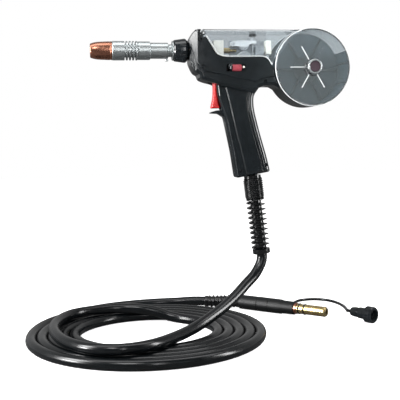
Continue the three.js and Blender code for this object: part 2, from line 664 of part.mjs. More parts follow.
function buildBoot() {
  const [top, bottom] = BOOT;
  return turned('z', [
    [-top, CABLE_R + 0.4], [-top, 11.8], [-top - 2, 14.4],
    ...ridges(-top - 3, -bottom + 1, 7, 13.1, 14.4),
    [-bottom, 14], [-bottom, CABLE_R + 0.4], [-top, CABLE_R + 0.4],
  ], 12);
}
add('cable_boot', buildBoot(), blackRubber, reliefGroup);

function buildRelief() {
  const [top, bottom] = RELIEF;
  const bore = CABLE_R + 0.4;
  return turned('z', [
    [-top, bore], [-top, 13.6], [-top - 1.8, 13.6],
    ...ridges(-top - 3, -bottom + 7.8, 10, 9.5, 14.1),
    [-bottom + 7.2, 13.4], [-bottom + 0.8, 13.4], [-bottom, 12.6], [-bottom, bore], [-top, bore],
  ], 12);
}
add('strain_relief', buildRelief(), blackRubber, reliefGroup);
add('inner_cable', rod('z', -RELIEF[1] + 0.2, 4, CABLE_R, [0, 0, 0], 16), cableRubber, reliefGroup);

const exitPoint = new THREE.Vector3(0, 0, -RELIEF[1] - GAP)
  .applyAxisAngle(new THREE.Vector3(0, 1, 0), rad(-RELIEF_TILT))
  .add(new THREE.Vector3(...RELIEF_TOP));

// ---- power cable: hanging run, coil on the floor, and the run to the plug ----
const DROP = [
  [exitPoint.x, exitPoint.y, exitPoint.z], [22.8, 0, -180.5], [20.3, -1.6, -190], [9.6, -7, -206],
  [-7, -17, -219],
  [-24, -29, -232], [-45, -44, -245], [-69, -62, -256], [-96, -84, -265], [-131, -118, -269.2],
  [-168, -151, -269.4], [-206, -163, -269.4], [-244, -149, -269.4], [-274, -113, -269.4],
  [-291, -64, -269.4], [-296, -14, -269.4], [-287, 34, -269.4], [-268, 68, -269.4],
];
const TAIL = [
  [-232, 168, -286], [-200, 184, -286], [-160, 195, -286], [-120, 199, -286], [-84, 195, -285.2],
  [-58, 187, -283.3], [-38.6, 179.4, -283],
];
add('power_cable', tubeAlong(DROP, CABLE_R, 36, 10), cableRubber);
add('cable_coil', turned('z', [
  [FLOOR, COIL_R[0] + 3], [FLOOR, COIL_R[1] - 3], [FLOOR + 5, COIL_R[1]],
  [FLOOR + 11, COIL_R[1]], [FLOOR + 2 * CABLE_R, COIL_R[1] - 4],
  [FLOOR + 2 * CABLE_R, COIL_R[0] + 4], [FLOOR + 8, COIL_R[0]], [FLOOR, COIL_R[0] + 3],
], 44, [COIL[0], COIL[1], 0]), cableRubber);
add('cable_tail', tubeAlong(TAIL, CABLE_R, 9, 10), cableRubber);

// ---- power plug at the cable's far end ----
const heading = (degrees) => new THREE.Vector3(Math.cos(rad(degrees)), Math.sin(rad(degrees)), 0);

// Bends a body built along +Z from z = 0 to z = length onto a curve.
function bent(geometry, curve, length) {
  const up = new THREE.Vector3(0, 0, 1);
  const position = geometry.attributes.position;
  for (let i = 0; i < position.count; i += 1) {
    const t = THREE.MathUtils.clamp(position.getZ(i) / length, 0, 1);
    const tangent = curve.getTangentAt(t);
    const side = new THREE.Vector3().crossVectors(up, tangent).normalize();
    const top = new THREE.Vector3().crossVectors(tangent, side);
    const point = curve.getPointAt(t)
      .addScaledVector(side, position.getX(i))
      .addScaledVector(top, position.getY(i));
    position.setXYZ(i, point.x, point.y, point.z);
  }
  return geometry;
}

const plugStart = new THREE.Vector3(...PLUG_AXIS);
const tailEnd = new THREE.Vector3(...TAIL[TAIL.length - 1]);
const reliefCurve = new THREE.CubicBezierCurve3(
  tailEnd.clone().addScaledVector(heading(-21), GAP),
  tailEnd.clone().addScaledVector(heading(-21), 22),
  plugStart.clone().addScaledVector(heading(PLUG_TURN), -22),
  plugStart,
);

function buildPlugRelief() {
  const length = reliefCurve.getLength();
  return bent(turned('z', [
    [0, 0], [0, 8.8], [0.8, 9.6], [5.4, 9.6], ...ridges(6, length - 6, 8, 8.6, 10.9),
    [length - 5, 10.4], [length - GAP, 10.4], [length - GAP, 0],
  ], 12), reliefCurve, length);
}
add('plug_relief', buildPlugRelief(), blackRubber);

const plug = new THREE.Group();
plug.position.set(...PLUG_AXIS);
plug.rotation.z = rad(PLUG_TURN);
torch.add(plug);
const LEAD_OUT = 70;                 // control cable outlet, along the power plug's grip

function buildPlugGrip() {
  const end = PLUG_GRIP;
  const grip = turned('x', [
    [0, 0], [0, 10.6], [1.6, 12.2], [37, 12.3], [37.6, 11.7], [38.6, 11.7], [39.2, 12.4],
    [82, 12.2], [84, 11.2], [end - 1, 10.8], [end, 10.2], [end, 0],
  ], 18);
  const grommet = turned('y', [[6, 0], [6, 5], [13, 4.8], [14.6, 3.6], [14.6, 0]], 12,
    [LEAD_OUT + 6, 0, 0]);
  return join(grip, grommet);
}
add('plug_grip', buildPlugGrip(), blackPlastic, plug);
add('plug_collar', pipe('x', PLUG_GRIP + GAP, PLUG_GRIP + 4.6, 6.6, 9.2, [0, 0, 0], 20), copper,
  plug);
add('power_plug', turned('x', [
  [PLUG_GRIP + GAP, 0], [PLUG_GRIP + GAP, 6.3], [113, 6.3], [113, 8.3], [115.2, 8.3],
  [115.2, 7], [118, 7], [118, 8.3], [125, 8.3], [125, 7], [127.8, 7], [127.8, 8.3],
  [163, 8.3], [165.4, 6.6], [165.4, 3], [150, 3], [150, 0],
], 18), brass, plug);
for (const [name, along] of [['o_ring_rear', 116.6], ['o_ring_front', 126.4]]) {
  const ring = new THREE.TorusGeometry(8.3, 1.05, 4, 12);
  ring.rotateY(Math.PI / 2);
  ring.translate(along, 0, 0);
  add(name, ring, blackRubber, plug);
}

// ---- control cable and its plug ----
const outlet = new THREE.Vector3(LEAD_OUT + 6, 14.6 + GAP, 0)
  .applyAxisAngle(new THREE.Vector3(0, 0, 1), rad(PLUG_TURN))
  .add(plugStart);
const LEAD = [
  [outlet.x, outlet.y, outlet.z], [88.6, 113.4, -281.6], [96, 123.6, -284.8], [108, 144, -290],
  [121, 166, -291.4], [135, 182, -291.4], [153, 188, -291.4], [173, 184, -291.4],
  [188, 168, -291.4], [195, 146, -291.4], [196, 116, -291.4], [190, 86, -290],
  [181.6, 58, -285], [175.4, 41, -281.8], [175.2, 36.6, -280.9],
];
const controlStart = new THREE.Vector3(...CONTROL_AXIS);
const leadEnd = controlStart.clone().addScaledVector(heading(CONTROL_TURN), -GAP);
add('control_cable', tubeAlong([...LEAD, [leadEnd.x, leadEnd.y, leadEnd.z]], THIN_R, 24, 8),
  cableRubber);

const controlPlug = new THREE.Group();
controlPlug.position.set(...CONTROL_AXIS);
controlPlug.rotation.z = rad(CONTROL_TURN);
torch.add(controlPlug);

function buildControlPlug() {
  const shell = turned('x', [
    [0, 0], [0, 4.6], [2, 7], [8, 8], [14.6, 8], [15.4, 7.2], [16.4, 7.2], [17, 9],
    [30.4, 9.2], [30.8, 8.4], [42, 8.4], [42, 7.4], [37, 7.4], [37, 0],
  ], 16);
  const pins = [];
  for (let i = 0; i < 5; i += 1) {
    const angle = i * 2 * Math.PI / 5;
    pins.push(rod('x', 36, 41, 0.9, [0, 4.4 * Math.cos(angle), 4.4 * Math.sin(angle)], 6));
  }
  return join(shell, ...pins);
}
add('control_plug', buildControlPlug(), blackPlastic, controlPlug);

function buildPlugRing() {
  const ring = turned('x', [
    [31, 8.8], [31, 12.2], [32, 13.1], [43, 13.1], [44.6, 12], [44.6, 8.8], [31, 8.8],
  ], 20);
  const notches = [];
  for (let i = 0; i < 10; i += 1) {
    const angle = i * 2 * Math.PI / 10;
    notches.push(rod('x', 30, 42.6, 1.9,
      [0, 14.2 * Math.cos(angle), 14.2 * Math.sin(angle)], 6));
  }
  return cut(ring, ...notches);
}
add('plug_ring', buildPlugRing(), blackPlastic, controlPlug);

export default torch;
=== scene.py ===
import json
import math

import bmesh
import bpy
from mathutils import Matrix, Vector


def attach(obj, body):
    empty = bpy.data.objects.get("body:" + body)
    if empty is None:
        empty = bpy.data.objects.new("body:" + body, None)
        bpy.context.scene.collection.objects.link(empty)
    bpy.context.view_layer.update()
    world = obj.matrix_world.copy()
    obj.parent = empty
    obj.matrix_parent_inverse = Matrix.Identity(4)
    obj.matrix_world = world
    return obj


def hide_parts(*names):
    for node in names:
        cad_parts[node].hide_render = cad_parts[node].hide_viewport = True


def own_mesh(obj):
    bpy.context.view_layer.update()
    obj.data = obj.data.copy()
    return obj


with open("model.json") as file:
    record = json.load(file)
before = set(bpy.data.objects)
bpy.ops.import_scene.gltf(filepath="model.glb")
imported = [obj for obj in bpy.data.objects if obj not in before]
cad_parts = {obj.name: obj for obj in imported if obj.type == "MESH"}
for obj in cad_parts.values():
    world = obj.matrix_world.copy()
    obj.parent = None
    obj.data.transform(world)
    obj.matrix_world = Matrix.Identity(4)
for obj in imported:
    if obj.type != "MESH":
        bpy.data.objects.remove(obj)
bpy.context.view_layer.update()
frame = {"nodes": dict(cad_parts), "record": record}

# MIG spool-gun torch. Sketches are in millimetres, as on a workshop drawing, and toMetres
# turns them into Blender's metres when a mesh is made.
toMetres = 0.001
# the body that each CAD node rides on, and its material
bodyOf = {node: body for body, nodes in frame["record"]["behaviour"]["bodies"].items()
          for node in nodes}
slotOf = {part["node"]: part["material_slot"] for part in frame["record"]["subparts"]}

# the main sizes of the gun, in millimetres and degrees
gun = {
    "lineZ": 134.5,                 # height of the barrel's axis
    "bodyHalf": 25.0, "waistHalf": 23.4, "gripHalf": 17.0, "gripRound": 7.0,
    "wall": 2.5, "clearWall": 2.0, "gap": 0.3,
    "canopyTop": 163.0, "canopyPin": (-66.5, 157.6), "earRadius": 5.4,
    "spool": (97.5, 107.0), "drumRadius": 58.0, "drumBack": 22.0, "roundSides": 160,
    "coverFront": -30.0, "coverBack": -28.0, "rimStep": 26.0, "rimTop": 107.0,
    "triggerPin": (-40.0, 92.0), "dial": (-19.1, -22.2, 107.0),
    "roll": (-2.0, 121.6), "pressRoll": (-2.0, 143.1), "screw": (12.6, 2.6),
    "reliefTop": (8.6, 0.0, -50.0), "reliefTilt": 6.25,
    "boot": (6.6, 40.0), "relief": (40.3, 125.5),
    "cableRadius": 8.0, "leadRadius": 2.5,
    "plugBack": (20.0, 152.0, -281.4), "plugTurn": -44.3,
    "controlBack": (178.6, 31.0, -280.7), "controlTurn": -58.6, "floor": -294.0,
}


def addObject(name, data):
    made = bpy.data.objects.new(name, data)
    bpy.context.collection.objects.link(made)
    return made


# the camera that took the photograph
view = {
    "position": (-253.0, -1137.9, -6.3), "yaw": 9.0, "pitch": -4.139, "roll": -1.05,
    "focalPixels": 760.0, "imagePixels": 400.0, "sensor": 36.0,
}


def makeCamera():
    yaw, pitch, roll = (math.radians(view[k]) for k in ("yaw", "pitch", "roll"))
    ahead = Vector((math.sin(yaw) * math.cos(pitch), math.cos(yaw) * math.cos(pitch),
                    math.sin(pitch)))
    level = Vector((math.cos(yaw), -math.sin(yaw), 0))
    above = level.cross(ahead)
    right = level * math.cos(roll) + above * math.sin(roll)
    up = above * math.cos(roll) - level * math.sin(roll)
    data = bpy.data.cameras.new("photoView")
    data.sensor_width = view["sensor"]
    data.lens = view["focalPixels"] / view["imagePixels"] * view["sensor"]
    data.clip_end = 20
    camera = addObject("photoView", data)
    turn = Matrix((right, up, -ahead)).transposed().to_4x4()
    camera.matrix_world = Matrix.Translation(Vector(view["position"]) * toMetres) @ turn
    bpy.context.scene.camera = camera


makeCamera()
print("camera set")


def linear(code):
    # sRGB hex to the linear colour that shaders use
    parts = [int(code[i:i + 2], 16) / 255 for i in (1, 3, 5)]
    return tuple(c / 12.92 if c <= 0.04045 else ((c + 0.055) / 1.055) ** 2.4
                 for c in parts) + (1.0,)


def addNode(tree, kind, inputs=None, **settings):
    # a node with its settings; an input is a value, or a socket to link from
    node = tree.nodes.new(kind)
    for name, value in settings.items():
        setattr(node, name, value)
    for socket, value in (inputs or {}).items():
        if isinstance(value, bpy.types.NodeSocket):
            tree.links.new(value, node.inputs[socket])
        else:
            node.inputs[socket].default_value = value
    return node


def finish(name, colour=None, rough=None, relief=None, **sockets):
    # colour, roughness and relief each follow a grain: (size in millimetres, detail, stretch).
    # After it come the stops of the ramp, or the height of the relief in millimetres and its
    # strength. Real mould grain is near 0.1 mm; it is drawn coarser so that it shows
    made = bpy.data.materials.new(name)
    made.use_nodes = True
    tree = made.node_tree
    shader = tree.nodes["Principled BSDF"]
    for socket, value in sockets.items():
        shader.inputs[socket.replace("_", " ")].default_value = value
    space = addNode(tree, "ShaderNodeTexCoord").outputs["Object"]
    for socket, pattern in (("Base Color", colour), ("Roughness", rough), ("Normal", relief)):
        if not pattern:
            continue
        (size, detail, stretch), *steps = pattern
        place = addNode(tree, "ShaderNodeMapping", {"Vector": space, "Scale": stretch})
        grain = addNode(tree, "ShaderNodeTexNoise", {
            "Vector": place.outputs["Vector"], "Scale": 1 / (size * toMetres), "Detail": detail})
        if socket == "Normal":
            bump = addNode(tree, "ShaderNodeBump", {
                "Height": grain.outputs["Fac"], "Distance": steps[0] * toMetres,
                "Strength": steps[1]})
            tree.links.new(bump.outputs["Normal"], shader.inputs[socket])
            continue
        ramp = addNode(tree, "ShaderNodeValToRGB", {"Fac": grain.outputs["Fac"]})
        elements = ramp.color_ramp.elements
        for extra in steps[2:]:
            elements.new(0.5)
        for element, (spot, value) in zip(elements, steps):
            element.position = spot
            element.color = linear(value) if isinstance(value, str) else (value,) * 3 + (1,)
        tree.links.new(ramp.outputs["Color"], shader.inputs[socket])
    return made


# how a grain is stretched: not at all, round the barrel's axis, or up the clear covers
even, acrossX, wiped = (1, 1, 1), (1, 0.04, 0.04), (1, 1, 0.12)


def mouldedRubber(name, shine, gleam):
    # thermoplastic rubber: deep black, with glints that depend on how smooth the mould was
    return finish(name, ((9, 3, even), (0.3, "#040506"), (0.72, "#090b0c")),
                  ((3, 3, even), (0.3, shine[0]), (0.75, shine[1])), ((0.6, 3, even), 0.06, 0.5),
                  IOR=1.52, Specular_IOR_Level=gleam)


def castAluminium(name, dull, bright):
    # die-cast aluminium: a matt grey skin, slightly grainy
    return finish(name, ((8, 3, even), (0.3, dull), (0.7, bright)),
                  ((3, 3, even), (0.3, 0.42), (0.7, 0.55)), ((0.8, 3, even), 0.04, 0.4),
                  Metallic=0.7)


def turnedMetal(name, dull, bright, satin, lineSize=0.5, height=0.02, stretch=even):
    # lathe-turned metal: uneven satin with tool lines, drawn wider than the real 0.1 mm feed
    lines = (lineSize, 3, stretch)
    return finish(name, ((12, 3, even), (0.3, dull), (0.7, bright)),
                  (lines, (0.3, satin[0]), (0.7, satin[1])), (lines, height, 0.08), Metallic=1.0)


materials = {
    # glass-filled nylon from a spark-eroded mould: satin black, a fine even grain, a cool tint
    "black_plastic": finish(
        "mouldedBlackNylon", ((18, 2, even), (0.3, "#0e1214"), (0.7, "#15191c")),
        ((6, 3, even), (0.3, 0.13), (0.75, 0.19)), ((0.6, 3, even), 0.02, 0.3),
        IOR=1.53, Specular_IOR_Level=0.45),
    # the reliefs' rubber: small bright glints on the crests
    "black_rubber": mouldedRubber("mouldedRubber", (0.2, 0.3), 0.5),
    # the cable's extruded jacket: satin black, faint lay of the strands, light scuffs
    "cable_rubber": finish(
        "extrudedRubberJacket",
        ((14, 5, even), (0.35, "#040608"), (0.62, "#070a0c"), (0.8, "#0c1013")),
        ((9, 4, even), (0.3, 0.2), (0.75, 0.27)), ((1.6, 2, even), 0.02, 0.3),
        IOR=1.52, Specular_IOR_Level=0.4),
    # injection-moulded polycarbonate: glassy, slightly grey, faint handling scratches
    "clear_plastic": finish(
        "clearPolycarbonate", None, ((4, 6, wiped), (0.5, 0.0), (0.85, 0.05)),
        ((30, 1, even), 0.05, 0.2),
        Base_Color=linear("#d3d8db"), IOR=1.585, Transmission_Weight=0.985),
    # unfilled nylon: warm white, satin, slightly waxy
    "white_nylon": finish(
        "whiteNylon", ((5, 3, even), (0.3, "#dedcd2"), (0.7, "#f2f0e8")),
        ((2, 3, even), (0.3, 0.38), (0.7, 0.5)), ((0.5, 3, even), 0.04, 0.4),
        IOR=1.53, Subsurface_Weight=0.08, Subsurface_Radius=(0.002, 0.002, 0.0015)),
    # pigmented ABS: bright red with a moulded gloss
    "red_plastic": finish(
        "glossRedPlastic", ((10, 3, even), (0.3, "#ab171a"), (0.7, "#c22224")),
        ((3, 3, even), (0.3, 0.24), (0.7, 0.34)), ((0.7, 3, even), 0.03, 0.4),
        IOR=1.54, Coat_Weight=0.25, Coat_Roughness=0.12),
    # the thumb nut's insert: dark plum ABS, satin, with a spark-eroded face
    "plum_plastic": finish(
        "plumPlastic", ((2.4, 3, even), (0.3, "#281a22"), (0.7, "#3d2935")),
        ((1.5, 3, even), (0.3, 0.42), (0.7, 0.6)), ((0.6, 3, even), 0.08, 0.6), IOR=1.53),
    # polished drawn copper: pinkish brown, with white highlights along the cone
    "copper": turnedMetal("polishedCopper", "#a9735d", "#b47e68", (0.24, 0.3), 1.6, 0.002,
                          acrossX),
    # turned 6061 aluminium: pale grey satin
    "aluminium": turnedMetal("turnedAluminium", "#b3b9ba", "#bec4c5", (0.34, 0.4), 1.6, 0.002,
                             acrossX),
    # bright zinc-plated steel: clean and slightly cool
    "steel": turnedMetal("platedSteel", "#dde0e2", "#eff1f2", (0.22, 0.32), height=0.003),
    # blackened steel fasteners: dark and dull
    "dark_steel": turnedMetal("blackenedSteel", "#26282a", "#3b3e41", (0.36, 0.5)),
    # machined free-cutting brass: pale gold
    "brass": turnedMetal("machinedBrass", "#b8a06c", "#d3bd8a", (0.2, 0.3), height=0.004),
}
# the speed roller: darker, satin ABS
wineRed = finish("wineRedPlastic", ((5, 3, even), (0.3, "#7d2632"), (0.7, "#9c3a45")),
                 ((2, 3, even), (0.3, 0.34), (0.7, 0.46)), IOR=1.53)
# the rear plug's grip: the same rubber, which hands have worn matt
dryRubber = mouldedRubber("dryRubber", (0.4, 0.52), 0.3)
# painted highlight: milky white on a clear moulding's rounded edges, standing in for the light that
# comes out of the sheet there
edgeGlowPainted = finish("polycarbonateEdgeGlowPainted", None, ((6, 3, even), (0.3, 0.12), (0.7, 0.3)),
                   Base_Color=linear("#f1f5f6"), IOR=1.585, Transmission_Weight=0.25)
# the inside of the spool drum, moulded coarse and matt, with painted light: its black nylon is
# painted slate grey for the light that reaches it through the clear cover
slatePaintedLight = finish(
    "slatePaintedLightNylon", ((22, 2, even), (0.3, "#1e2b32"), (0.7, "#29373f")),
    ((4, 3, even), (0.3, 0.5), (0.75, 0.65)), ((0.7, 3, even), 0.08, 0.6),
    IOR=1.53, Specular_IOR_Level=0.35)
# the drive's castings: its frame, and the pressure arm, which is bead-blasted and paler
frameCasting = castAluminium("frameCasting", "#9fa5a9", "#b1b6ba")
armCasting = castAluminium("armCasting", "#dfe3e5", "#edf0f1")
print("materials made")


def addPiece(name, points, faces, material):
    mesh = bpy.data.meshes.new(name)
    mesh.from_pydata([Vector(p) * toMetres for p in points], [], faces)
    sketch = bmesh.new()
    sketch.from_mesh(mesh)
    bmesh.ops.remove_doubles(sketch, verts=sketch.verts, dist=1e-7)
    bmesh.ops.recalc_face_normals(sketch, faces=sketch.faces)
    sketch.to_mesh(mesh)
    sketch.free()
    if material:
        mesh.materials.append(material)
    return addObject(name, mesh)


def applyModifiers(piece):
    shaped = piece.evaluated_get(bpy.context.evaluated_depsgraph_get())
    old = piece.data
    piece.data = bpy.data.meshes.new_from_object(shaped)
    piece.modifiers.clear()
    bpy.data.meshes.remove(old)
    return piece


def combine(operation, base, *tools):
    for tool in tools:
        step = base.modifiers.new("combine", "BOOLEAN")
        step.operation = operation
        step.solver = "EXACT"
        step.object = tool
        applyModifiers(base)
        bpy.data.objects.remove(tool)
    return base


def join(base, *tools):
    return combine("UNION", base, *tools)


def cut(base, *tools):
    return combine("DIFFERENCE", base, *tools)


def common(base, *tools):
    return combine("INTERSECT", base, *tools)


def soften(piece, width=0.25, steps=2, angle=32):
    # small rounded edges, in millimetres; flat faces stay flat and the rest is smooth. An edge
    # stays sharp only where it turns a little more than the ones that are rounded
    for polygon in piece.data.polygons:
        polygon.use_smooth = True
    if width:
        edges = piece.modifiers.new("edges", "BEVEL")
        edges.width = width * toMetres
        edges.segments = steps
        edges.limit_method = "ANGLE"
        edges.angle_limit = math.radians(angle)
        applyModifiers(piece)
    piece.data.set_sharp_from_angle(angle=math.radians(angle + 8))
    shading = piece.modifiers.new("shading", "WEIGHTED_NORMAL")
    shading.keep_sharp = True
    return applyModifiers(piece)


def paint(piece, material):
    piece.data.materials.clear()
    piece.data.materials.append(material)


def repaint(piece, material, chosen):
    # another finish for the faces that chosen(centre in millimetres, normal) picks
    piece.data.materials.append(material)
    for polygon in piece.data.polygons:
        if chosen(polygon.center / toMetres, polygon.normal):
            polygon.material_index = len(piece.data.materials) - 1


def dress(piece, *nodes):
    # the piece stands for its CAD nodes and rides with them
    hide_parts(*nodes)
    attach(piece, bodyOf[nodes[0]])
    return piece


def place(piece, at, turn):
    piece.data.transform(Matrix.Translation(Vector(at) * toMetres) @ turn.to_4x4())
    return piece


def between(start, end, step):
    count = math.ceil(abs(end - start) / step)
    return [start + (end - start) * k / count for k in range(count + 1)]


def around(count, radius, at=(0, 0, 0), shift=0.0):
    # places on a circle about a line along X
    angles = [2 * math.pi * (i + shift) / count for i in range(count)]
    return [(at[0], at[1] + radius * math.cos(a), at[2] + radius * math.sin(a)) for a in angles]


def acrossGun(name):
    # the place of an axis that runs across the gun
    x, z = gun[name]
    return (x, 0, z)


def skin(name, points, rings, material, caps=True):
    # faces between neighbouring rings of point numbers, and over the first and last ring
    faces = []
    for a, b in zip(rings, rings[1:]):
        for k in range(len(a)):
            n = (k + 1) % len(a)
            face = list(dict.fromkeys((a[k], a[n], b[n], b[k])))
            if len(face) > 2:
                faces.append(face)
    if caps:
        faces += [rings[0], rings[-1]]
    return addPiece(name, points, faces, material)


def along(axis, distance, c, s, at=(0, 0, 0)):
    spot = {"x": (distance, c, s), "y": (c, distance, s), "z": (c, s, distance)}[axis]
    return (spot[0] + at[0], spot[1] + at[1], spot[2] + at[2])


def turned(name, axis, profile, material, at=(0, 0, 0), segments=72, shape=None):
    # a profile of (distance along the axis, radius) turned about it; shape varies the radius.
    # A profile that starts off the axis closes on itself, as a ring
    points, rings = [], []
    for distance, radius in profile:
        if radius == 0:
            rings.append([len(points)] * segments)
            points.append(along(axis, distance, 0, 0, at))
            continue
        rings.append(list(range(len(points), len(points) + segments)))
        for k in range(segments):
            angle = 2 * math.pi * k / segments
            r = shape(distance, radius, angle) if shape else radius
            points.append(along(axis, distance, r * math.cos(angle), r * math.sin(angle), at))
    if profile[0][1] > 0:
        rings.append(rings[0])
    return skin(name, points, rings, material, caps=False)


def rod(axis, a0, a1, radius, at=(0, 0, 0), segments=48):
    return turned("tool", axis, [(a0, 0), (a0, radius), (a1, radius), (a1, 0)], None, at,
                  segments)


def tube(start, end, inner, outer):
    return [(start, inner), (start, outer), (end, outer), (end, inner)]


def knurled(depth, lobes, outside):
    # scallops a turned piece where its radius is at least outside
    return lambda distance, radius, angle: radius - (
        depth * abs(math.cos(lobes * angle)) if radius >= outside else 0)


def pieceName(node):
    first, *rest = node.split("_")
    return first + "".join(word.capitalize() for word in rest)


def lathe(node, axis, profile, at=(0, 0, 0), segments=72, edge=0.2, steps=2, shape=None,
          material=None, added=(), holes=(), angle=32, moved=None):
    # a turned piece for a CAD node: parts added, holes cut, edges rounded, then moved
    piece = turned(pieceName(node), axis, profile, material or materials[slotOf[node]], at,
                   segments, shape)
    piece = soften(cut(join(piece, *added), *holes), edge, steps, angle)
    if moved:
        place(piece, *moved)
    return dress(piece, node)


def block(x0, x1, y0, y1, z0, z1):
    points = [(x, y, z) for x in (x0, x1) for y in (y0, y1) for z in (z0, z1)]
    faces = [(0, 1, 3, 2), (4, 6, 7, 5), (0, 4, 5, 1), (2, 3, 7, 6), (0, 2, 6, 4), (1, 5, 7, 3)]
    return addPiece("tool", points, faces, None)


def outline(corners, steps=6):
    # corners are (x, y, rounding); each rounding takes at most 0.45 of an edge
    points = []
    for i, corner in enumerate(corners):
        here = Vector(corner[:2])
        reach = corner[2] if len(corner) > 2 else 0
        if not reach:
            points.append(here)
            continue
        start, end = (here + (Vector(other[:2]) - here).normalized()
                      * min(reach, 0.45 * (Vector(other[:2]) - here).length)
                      for other in (corners[i - 1], corners[(i + 1) % len(corners)]))
        for k in range(steps + 1):
            t = k / steps
            points.append(start * (1 - t) ** 2 + here * 2 * t * (1 - t) + end * t * t)
    return points


def insetCorners(corners, distance):
    # a sketch moved inward: its outer roundings tighten and its inner ones open
    spots = [Vector(corner[:2]) for corner in corners]
    count = len(spots)
    side = 1 if sum(spots[i - 1].cross(spots[i]) for i in range(count)) > 0 else -1
    moved = []
    for i, here in enumerate(spots):
        ahead = (spots[(i + 1) % count] - here).normalized()
        behind = (here - spots[i - 1]).normalized()
        inward = [Vector((-d.y, d.x)) * side for d in (behind, ahead)]
        bend = max(inward[0].dot(inward[1]), -0.5)
        spot = here + (inward[0] + inward[1]) / (1 + bend) * distance
        reach = corners[i][2] if len(corners[i]) > 2 else 0
        if reach:
            change = distance * math.sqrt(max(0, 1 - bend) / (1 + bend))
            reach = max(0.3, reach - change if behind.cross(ahead) * side > 0 else reach + change)
        moved.append((spot.x, spot.y, reach))
    return moved


def slab(name, corners, y0, y1, rounding=0, inset=0, steps=5, material=None, plane="xz"):
    # a sketch extruded across the gun, with rounded long edges
    turns = [k / steps * math.pi / 2 for k in range(steps + 1)] if rounding else [math.pi / 2]
    levels = [(inset + rounding * (1 - math.sin(t)), y0 + rounding * (1 - math.cos(t)))
              for t in turns]
    levels += [(d, y0 + y1 - y) for d, y in reversed(levels)]
    points, rings = [], []
    for d, y in levels:
        edge = outline(insetCorners(corners, d))
        rings.append(list(range(len(points), len(points) + len(edge))))
        points += [(p.x, y, p.y) if plane == "xz" else (p.x, p.y, y) for p in edge]
    return skin(name, points, rings, material)


def smoothLine(points, spacing=4.0):
    # a centripetal curve through the points, sampled about every few millimetres
    spots = [Vector(p) for p in points]
    ends = [spots[0] * 2 - spots[1]] + spots + [spots[-1] * 2 - spots[-2]]
    line = [spots[0]]
    for i in range(1, len(ends) - 2):
        a, b, c, d = ends[i - 1:i + 3]
        da, db, dc = ((q - p).length ** 0.5 for p, q in ((a, b), (b, c), (c, d)))
        near = (b - a) / da - (c - a) / (da + db) + (c - b) / db
        far = (c - b) / db - (d - b) / (db + dc) + (d - c) / dc
        near, far = near * db, far * db
        count = max(2, round((c - b).length / spacing))
        for k in range(1, count + 1):
            t = k / count
            line.append(b * (2 * t ** 3 - 3 * t ** 2 + 1) + near * (t ** 3 - 2 * t ** 2 + t)
                        + c * (3 * t ** 2 - 2 * t ** 3) + far * (t ** 3 - t ** 2))
    return line


def lineLength(line):
    return sum((b - a).length for a, b in zip(line, line[1:]))


def sweep(name, line, radiusAt, material, sides=48, up=(0, 0, 1)):
    # a round section swept along a line that never runs along up; radiusAt gives its radius
    points, rings = [], []
    travelled = 0
    for i, here in enumerate(line):
        way = (line[min(i + 1, len(line) - 1)] - line[max(i - 1, 0)]).normalized()
        side = way.cross(Vector(up)).normalized()
        top = side.cross(way)
        travelled += (here - line[i - 1]).length if i else 0
        rings.append(list(range(i * sides, (i + 1) * sides)))
        for k in range(sides):
            angle = 2 * math.pi * k / sides
            radius = radiusAt(travelled, angle)
            points.append(here + side * radius * math.cos(angle) + top * radius * math.sin(angle))
    return skin(name, points, rings, material)


def cordCurve(name, line, radius, material):
    data = bpy.data.curves.new(name, "CURVE")
    data.dimensions = "3D"
    data.bevel_depth = radius * toMetres
    data.bevel_resolution = 8
    data.use_fill_caps = True
    spline = data.splines.new("POLY")
    spline.points.add(len(line) - 1)
    for spot, here in zip(spline.points, line):
        spot.co = (*(here * toMetres), 1)
    data.materials.append(material)
    return addObject(name, data)


def heading(degrees):
    return Vector((math.cos(math.radians(degrees)), math.sin(math.radians(degrees)), 0))


# the power cable: out of the relief, down on top of the coil, five turns outward, then the tail
reliefTurn = Matrix.Rotation(math.radians(-gun["reliefTilt"]), 3, "Y")
cableExit = reliefTurn @ Vector((0, 0, -gun["relief"][1] - gun["gap"])) + Vector(gun["reliefTop"])
cable = {
    "drop": [
        (22.8, 0, -180.5), (20.3, -1.6, -190), (9.6, -7, -206), (-7, -17, -219), (-24, -29, -232),
        (-45, -44, -245), (-69, -62, -256), (-96, -84, -265), (-131, -118, -269.2),
        (-168, -151, -269.4), (-206, -163, -269.4), (-244, -149, -269.4), (-274, -113, -269.4),
        (-291, -64, -269.4), (-296, -14, -269.4), (-287, 34, -269.4), (-268, 68, -269.4),
    ],
    # angle from +X, distance from the coil's middle, height: the way down into the coil
    "descent": [(126, 125, -269.4), (108, 111, -269.6), (92, 98.6, -270.8), (78, 97.6, -276),
                (66, 98.6, -283)],
    "tail": [
        (-232, 168, -286), (-200, 184, -286), (-160, 195, -286), (-120, 199, -286),
        (-84, 195, -285.2), (-58, 187, -283.3), (-38.6, 179.4, -283),
    ],
    "middle": (-155.5, -13.0), "turnStart": 54.0, "innerRadius": 100.2, "pitch": 16.05,
    "turns": 4.86, "pointsPerTurn": 16, "floorHeight": -286.0,
    # the last degrees of the coil, over which the cable swings out to its tail
    "leave": 72.0, "leaveOut": 15.0,
}


def onCoil(degrees, radius, height):
    middle = cable["middle"]
    return (middle[0] + radius * math.cos(math.radians(degrees)),
            middle[1] + radius * math.sin(math.radians(degrees)), height)


def cableLine():
    spots = [tuple(cableExit)] + cable["drop"]
    spots += [onCoil(*step) for step in cable["descent"]]
    total = cable["turns"] * 360
    steps = math.ceil(cable["turns"] * cable["pointsPerTurn"])
    for k in range(steps):
        swept = total * k / steps
        leaving = max(0.0, (swept - total + cable["leave"]) / cable["leave"])
        radius = cable["innerRadius"] + cable["pitch"] * swept / 360
        spots.append(onCoil(cable["turnStart"] - swept,
                            radius + cable["leaveOut"] * leaving ** 1.5, cable["floorHeight"]))
    return smoothLine(spots + cable["tail"], 6)


